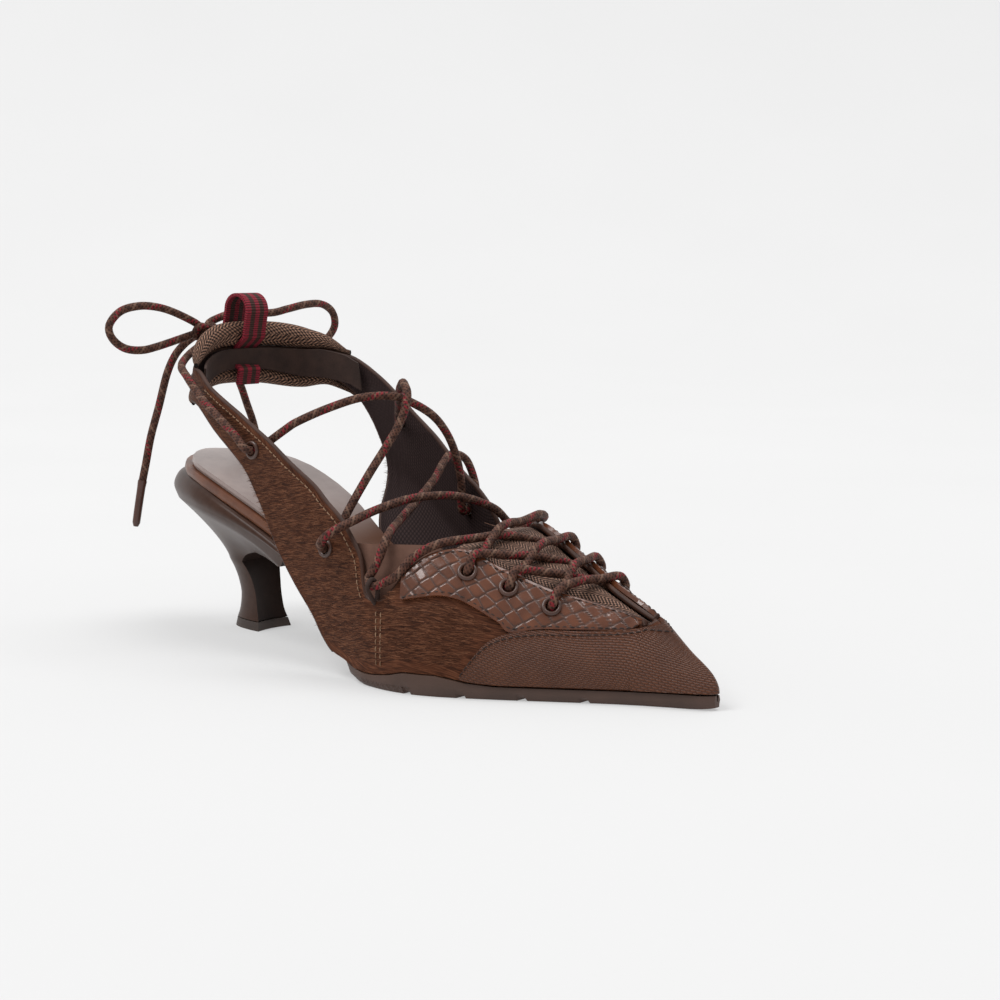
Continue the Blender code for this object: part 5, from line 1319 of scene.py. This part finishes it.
def make_pull_loop(looks):
    """Ribbed webbing that runs over the tab as a loop; inside, the band covers part of it."""
    def leg(side, up):
        middle = SLING_BACK - WALL_THICKNESS / 2 - SLING_LEAN * max(up - SLING_LEAN_FROM, 0.0)
        reach = LOOP_REACH
        if side < 0:
            (low, low_span), (top, top_span) = TUCK_LOW, TUCK_TOP
            reach -= TUCK_IN * ease((up - low) / low_span) * ease((top - up) / top_span)
        return place(middle + side * reach, LOOP_ACROSS, up)
    crown = LOOP_TOP - LOOP_REACH
    inner_steps, turn_steps, outer_steps = 14, 8, 5
    path = [leg(-1, mix(LOOP_INNER_END, crown, i / inner_steps)) for i in range(inner_steps + 1)]
    for i in range(1, turn_steps):
        turn = math.pi * i / turn_steps
        path.append(leg(0, crown) + Vector((LOOP_REACH * math.cos(turn), 0, LOOP_REACH * math.sin(turn))))
    path += [leg(1, mix(crown, LOOP_OUTER_END, i / outer_steps)) for i in range(outer_steps + 1)]
    lines = [[p + Vector((0, LOOP_WIDTH * (s - 0.5), 0)) for s in QUARTERS] for p in finer_line(path, 3)]
    outer, inner = (offset_grid(lines, LOOP_THICKNESS / 2 * way) for way in (1, -1))
    sheet("pull_loop_webbing", outer, inner, [looks["webbing"]],
          replaced=["pull_loop"], record_slot="webbing")


def make_eyelets(looks):
    """Enamelled rings with a rolled crown and a short barrel through the wall."""
    middle, half = (EYELET_HOLE + EYELET_OUTER) / 2, (EYELET_OUTER - EYELET_HOLE) / 2
    for row in STAY_EYELETS + QUARTER_EYELETS:
        seat = OVERLAY_GAP + OVERLAY_THICKNESS + SCALE_RISE if row in STAY_EYELETS else RING_SEAT
        depth = seat + WALL_THICKNESS + RING_TAIL
        centre = on_wall(row, seat)
        turned = wall_normal(row.side, row.back, row.up).to_track_quat("Z", "X")
        profile = [(EYELET_HOLE, -depth), (EYELET_HOLE, RING_RISE)]
        for i in range(RING_CURVE + 1):
            angle = math.pi * (1 - i / RING_CURVE)
            profile.append((middle + half * math.cos(angle), RING_RISE + RING_CROWN * math.sin(angle)))
        barrel = EYELET_HOLE + RING_WALL
        profile += [(EYELET_OUTER, 0.0), (barrel, -RING_SEAT), (barrel, -depth)]
        rings = []
        for turn in circle(RING_STEPS):
            spots = [Vector((r * math.cos(turn), -r * math.sin(turn), h)) for r, h in profile]
            rings.append([centre + turned @ spot for spot in spots])
        points, faces, _ = loft(rings, range(RING_STEPS + 1), closed=True)
        build(row.name + "_ring", points, faces, [looks["eyelet"]], sharp=ROUND_SHARP, replaced=[row.name],
              record_slot="eyelet_enamel")


def eyelet(side, number):
    name = f"eyelet_{dict(HANDS)[side]}_{number}"
    return next(row for row in STAY_EYELETS + QUARTER_EYELETS if row.name == name)


def through(row, lifts):
    return [on_wall(row, lift) for lift in lifts]


def come_up(row):
    """Lace from inside, up through a stay eyelet and over the throat's edge."""
    spot, normal = wall_at_height(row.side, row.back, row.up), wall_normal(row.side, row.back, row.up)
    rise = (wall_at_height(row.side, row.back, row.up + 1.0) - spot).normalized()
    return [spot + rise * inward + normal * lift for inward, lift in COME_UP]


def over(a, b, rise):
    """Middle points of a strand over the throat, between its two ends."""
    out = []
    for s in STRAND_SHARES:
        spot = a.lerp(b, s)
        chord = (throat_edge[LATERAL](-spot.x) + throat_edge[MEDIAL](-spot.x)) / 2
        spot.z = mix(mix(a.z, b.z, s), chord + rise, 1 - abs(2 * s - 1) * 0.5)
        out.append(spot)
    return out


def lace_route():
    """One lace from the upper lateral eyelet through every other eyelet to the upper medial one."""
    up = {(side, i): come_up(eyelet(side, i)) for side, word in HANDS for i in (1, 2, 3)}
    mid = {side: eyelet(side, "mid") for side, word in HANDS}
    upper = {side: through(eyelet(side, "upper"), UPPER_LIFTS) for side, word in HANDS}
    route = upper[LATERAL] + places(INSTEP[LATERAL]) + through(mid[MEDIAL], MEDIAL_LIFTS)
    route += [on_wall(mid[MEDIAL], MEDIAL_OUT) + Vector(MEDIAL_SWING)]
    route += places(FROM_MEDIAL_MID + REAR_CLIMB + NOTCH_TURN[LATERAL] + FORE_CLIMB)
    route += over(route[-1], up[MEDIAL, 1][0], LACE_LOW)
    for before, after, rise in DOWN_STRANDS:
        route += up[before] + over(up[before][-1], up[after][0], rise)
    route += up[MEDIAL, 3] + over(up[MEDIAL, 3][-1], up[LATERAL, 3][-1], LACE_BAR)
    for before, after, rise in UP_STRANDS:
        route += up[before][::-1] + over(up[before][0], up[after][-1], rise)
    edge = places(MEDIAL_TURN)
    route += up[LATERAL, 1][::-1] + over(up[LATERAL, 1][0], edge[0], LACE_HIGH) + edge
    route += places(NOTCH_TURN[MEDIAL] + LATERAL_MID_WAY) + through(mid[LATERAL], LATERAL_LIFTS)
    return route + places(INSTEP[MEDIAL]) + upper[MEDIAL][::-1]


def strap_route(side):
    upper = eyelet(side, "upper")
    knots = [on_wall(upper, STRAP_OUT), on_wall(upper, STRAP_LIFT) + Vector(STRAP_SWING)]
    knots += [on_wall(EyeletRow("run", side, *row), STRAP_LIFT) for row in STRAP_RUN[side]]
    return knots + places(STRAP_END[side])


def into_knot(point):
    """Point inside the knot on the way from a lace's end."""
    return place(*KNOT_SPOT).lerp(point, KNOT_SHARE)


def make_lace(looks):
    """Braided lace: the run through the eyelets, the strap runs, the bow and its ends."""
    def braid(name, route, replaced, closed=False):
        return tube(name, route, LACE_SKIN, looks["lace"], LACE_SIDES, "lace", replaced, closed)

    solids = ["lace_crossings", "lace_instep_a", "lace_instep_b"]
    braid("lace_run", smooth_route(lace_route(), LACE_STEP), solids)
    for side, word in HANDS:
        knots = strap_route(side)
        route = smooth_route(knots + [into_knot(knots[-1])], LOOSE_STEP)
        declare_cord(braid(f"lace_run_strap_{word}", route, [f"lace_strap_{word}"]), route, "knot", "taut")
    for name, knots in LOOSE_LACE.items():
        ends = name.startswith("lace_end")
        spots = places(knots)
        spots = [into_knot(spots[0])] + spots + ([] if ends else [into_knot(spots[-1])])
        route = smooth_route(spots, LOOSE_STEP)
        if ends:
            aglet = "aglet_" + name[-1]
            line = smooth_route(places(knots[-1:] + AGLETS[aglet]), AGLET_STEP)
            shape = monotone(AGLET_SHARES, AGLET_RADII)
            tube(aglet + "_sleeve", line, shape, looks["aglet"], AGLET_SIDES,
                               "aglet_plastic", [aglet])
        far_end, lay = ("fitting", "hanging") if ends else ("knot", "loose")
        declare_cord(braid(f"{name}_braid", route, [name]), route, far_end, lay)
    knot = []
    for t in circle(KNOT_STEPS):
        turn = Vector((math.sin(t) + 2 * math.sin(2 * t), (math.cos(t) - 2 * math.cos(2 * t)) * KNOT_WIDE,
                       -math.sin(3 * t) * KNOT_DEEP))
        knot.append(place(*KNOT_SPOT) + turn * KNOT_REACH)
    braid("lace_knot_braid", knot, ["lace_knot"], True)
    for side, word in HANDS:
        turn = place(*NOTCH_TURN[side][1])
        rows = [row for row in EDGES[side] if NOTCH_FROM < row.top_back < NOTCH_TO]
        notch = min(rows, key=lambda row: row.top_up)
        spot = EyeletRow("foot", side, notch.top_back, notch.top_up - HOOP_FOOT)
        foot = on_wall(spot, -WALL_THICKNESS / 2)
        legs = [(foot.lerp(turn, s), Vector((0, aside, 0))) for s, aside in HOOP_LEG]
        knots = [p + aside for p, aside in legs] + [turn + Vector((0, 0, HOOP_HALF))]
        knots += [p - aside for p, aside in reversed(legs)]
        tube(f"notch_loop_{word}", smooth_route(knots, HOOP_STEP), HOOP_RADIUS, looks["suede"], EDGE_SIDES,
             "lace", [f"lace_loop_{word}"])


def declare_cord(piece, route, far_end, lay):
    path = [to_row(p) for p in route]
    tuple(path[0])
    travelled(path)[-1]


def seat_at(share):
    return lambda back: mix(sole_under(back), sole_edge(back), share)


def finer_heel_ring(ring):
    side = ring[RING_FRONT:len(ring) - RING_FRONT + 1]
    front = ring[len(ring) - RING_FRONT:] + ring[:RING_FRONT + 1]
    return finer_line(front, HEEL_FRONT_STEPS)[:-1] + finer_line(side, HEEL_SIDE_STEPS)[:-1]


def make_heel_shape(looks):
    """The heel's own rings, finer: column and flare up to the rim's lower crease, then the rim."""
    sizes = [column(HEEL_COLUMN, name, "up") for name in ("rear", "front", "half")]
    stack = []
    for k in range(HEEL_LEVELS + 1):
        up = mix(HEEL_COLUMN[0].up, HEEL_COLUMN[-1].up, k / HEEL_LEVELS)
        stack.append(column_ring(HeelRow(up, *(size(up) for size in sizes))))
    top = stack[-1]
    rim = [rim_ring(seat_at(row.share), row.side_inset, row.back_inset) for row in RIM]
    arch = monotone([0.0] + [row.rise for row in FLARE] + [1.0], [0.0] + [row.arch for row in FLARE] + [0.0])
    for k in range(1, FLARE_LEVELS + 1):
        rise = k / FLARE_LEVELS
        ring = []
        for a, b in zip(top, rim[0]):
            front = 1 - (-b.x - HEEL_START) / (SHOE_LENGTH - HEEL_START)
            point = a.lerp(b, rise ** FLARE_POWER)
            point.z = mix(a.z, b.z, rise) + arch(rise) * front ** 3
            ring.append(point)
        stack.append(ring)
    rings = [finer_heel_ring(ring) for ring in stack]
    lines = [finer_line(list(line), RIM_STEPS) for line in zip(*map(finer_heel_ring, rim))]
    rings += [list(ring) for ring in zip(*lines)][1:]
    points, faces, _ = loft(rings, range(len(rings)))
    count, half = len(rings[0]), RING_FRONT * HEEL_FRONT_STEPS
    # front faces below the rim get the darker plastic: painted shade on the breast
    slots = [int(i < 2 * half and p.z < rim[0][0].z) for ring in rings[:-1] for i, p in enumerate(ring)]
    del faces[-2:]
    for base, way in ((0, -1), (len(points) - count, 1)):
        for i in range(count // 2):
            quad = [(half - i) % count, (half - i - 1) % count, (half + i + 1) % count, (half + i) % count]
            quad = [base + q for q in dict.fromkeys(quad)]
            if len(quad) > 2:
                faces.append(tuple(quad[::way]))
                slots.append(0)
    build("heel_block", points, faces, [looks["heel"], looks["breast"]], slots, sharp=HEEL_SHARP,
          replaced=["heel"], record_slot="heel_plastic")


def soft_faces():
    """Modifier that shades faces smooth across shallow edges."""
    group = bpy.data.node_groups.new("soft_faces", "GeometryNodeTree")
    for way in ("INPUT", "OUTPUT"):
        group.interface.new_socket("Geometry", in_out=way, socket_type="NodeSocketGeometry")
    start, weld, faces, edges, end, angle, shallow = (group.nodes.new(kind) for kind in (
        "NodeGroupInput", "GeometryNodeMergeByDistance", "GeometryNodeSetShadeSmooth",
        "GeometryNodeSetShadeSmooth", "NodeGroupOutput", "GeometryNodeInputMeshEdgeAngle",
        "FunctionNodeCompare"))
    weld.inputs["Distance"].default_value = WELD_DISTANCE
    shallow.operation = "LESS_THAN"
    shallow.inputs[1].default_value = SOFT_ANGLE
    edges.domain = "EDGE"
    for a, b, socket in ((start, weld, 0), (weld, faces, 0), (faces, edges, 0), (angle, shallow, 0),
                         (shallow, edges, 2), (edges, end, 0)):
        group.links.new(a.outputs[0], b.inputs[socket])
    return group


def dress_solids(looks):
    """Finish of the solids that stay as they are."""
    soft = soft_faces()
    for name, finish in DRESSED:
        piece = nodes[name]
        piece.data.materials.clear()
        piece.data.materials.append(looks[finish])
        piece.modifiers.new("soft_faces", "NODES").node_group = soft


def stand(name, data, spot, aim):
    """Camera or light at a spot, turned to what it looks at."""
    made = bpy.data.objects.new(name, data)
    made.location = spot
    made.rotation_euler = (aim - spot).to_track_quat("-Z", "Y").to_euler()
    bpy.context.scene.collection.objects.link(made)
    return made


def make_camera():
    data = bpy.data.cameras.new("camera")
    data.lens, data.sensor_width, data.clip_start = LENS, SENSOR, CLIP_START
    bpy.context.scene.camera = stand("camera", data, to_row(EYE), to_row(TARGET))


def make_stage(looks):
    """Pale floor that sweeps up into the backdrop, and soft light from above."""
    forward = to_row(TARGET) - to_row(EYE)
    forward.z = 0.0
    forward.normalize()
    sideways = Vector((-forward.y, forward.x, 0.0))
    profile = [(FLOOR_NEAR, 0.0), (FLOOR_BEND, 0.0)]
    for k in range(1, BEND_STEPS + 1):
        turn = k * math.pi / (2 * BEND_STEPS)
        profile.append((FLOOR_BEND * (1 + math.sin(turn)), FLOOR_BEND * (1 - math.cos(turn))))
    profile.append((2 * FLOOR_BEND, FLOOR_TOP))
    points = []
    for ahead, up in profile:
        middle = forward * ahead + Vector((0, 0, up))
        points += [middle - sideways * FLOOR_HALF, middle + sideways * FLOOR_HALF]
    mesh = bpy.data.meshes.new("floor")
    mesh.from_pydata(points, [], [(k, k + 1, k + 3, k + 2) for k in range(0, len(points) - 2, 2)])
    mesh.materials.append(looks["floor"])
    mesh.shade_smooth()
    floor = bpy.data.objects.new("floor", mesh)
    bpy.context.scene.collection.objects.link(floor)
    world = bpy.data.worlds.new("studio")
    world.use_nodes = True
    sky = world.node_tree.nodes["Background"].inputs
    sky["Color"].default_value = (1.0, 1.0, 1.0, 1.0)
    sky["Strength"].default_value = WORLD_LIGHT
    bpy.context.scene.world = world
    bpy.context.scene.view_settings.view_transform = "Standard"
    for row in LIGHTS:
        data = bpy.data.lights.new(row.name, "AREA")
        data.size, data.energy = row.size, row.power
        stand(row.name, data, Vector(row.spot), Vector())


def main():
    looks = make_materials()
    make_camera()
    make_stage(looks)
    outer = make_upper(looks)
    make_panels(looks)
    make_stitches(looks)
    make_hair(outer, looks)
    for make in (make_tongue, make_heel_tab, make_lips, make_pull_loop, make_eyelets, make_lace,
                 make_heel_shape, dress_solids):
        make(looks)


main()
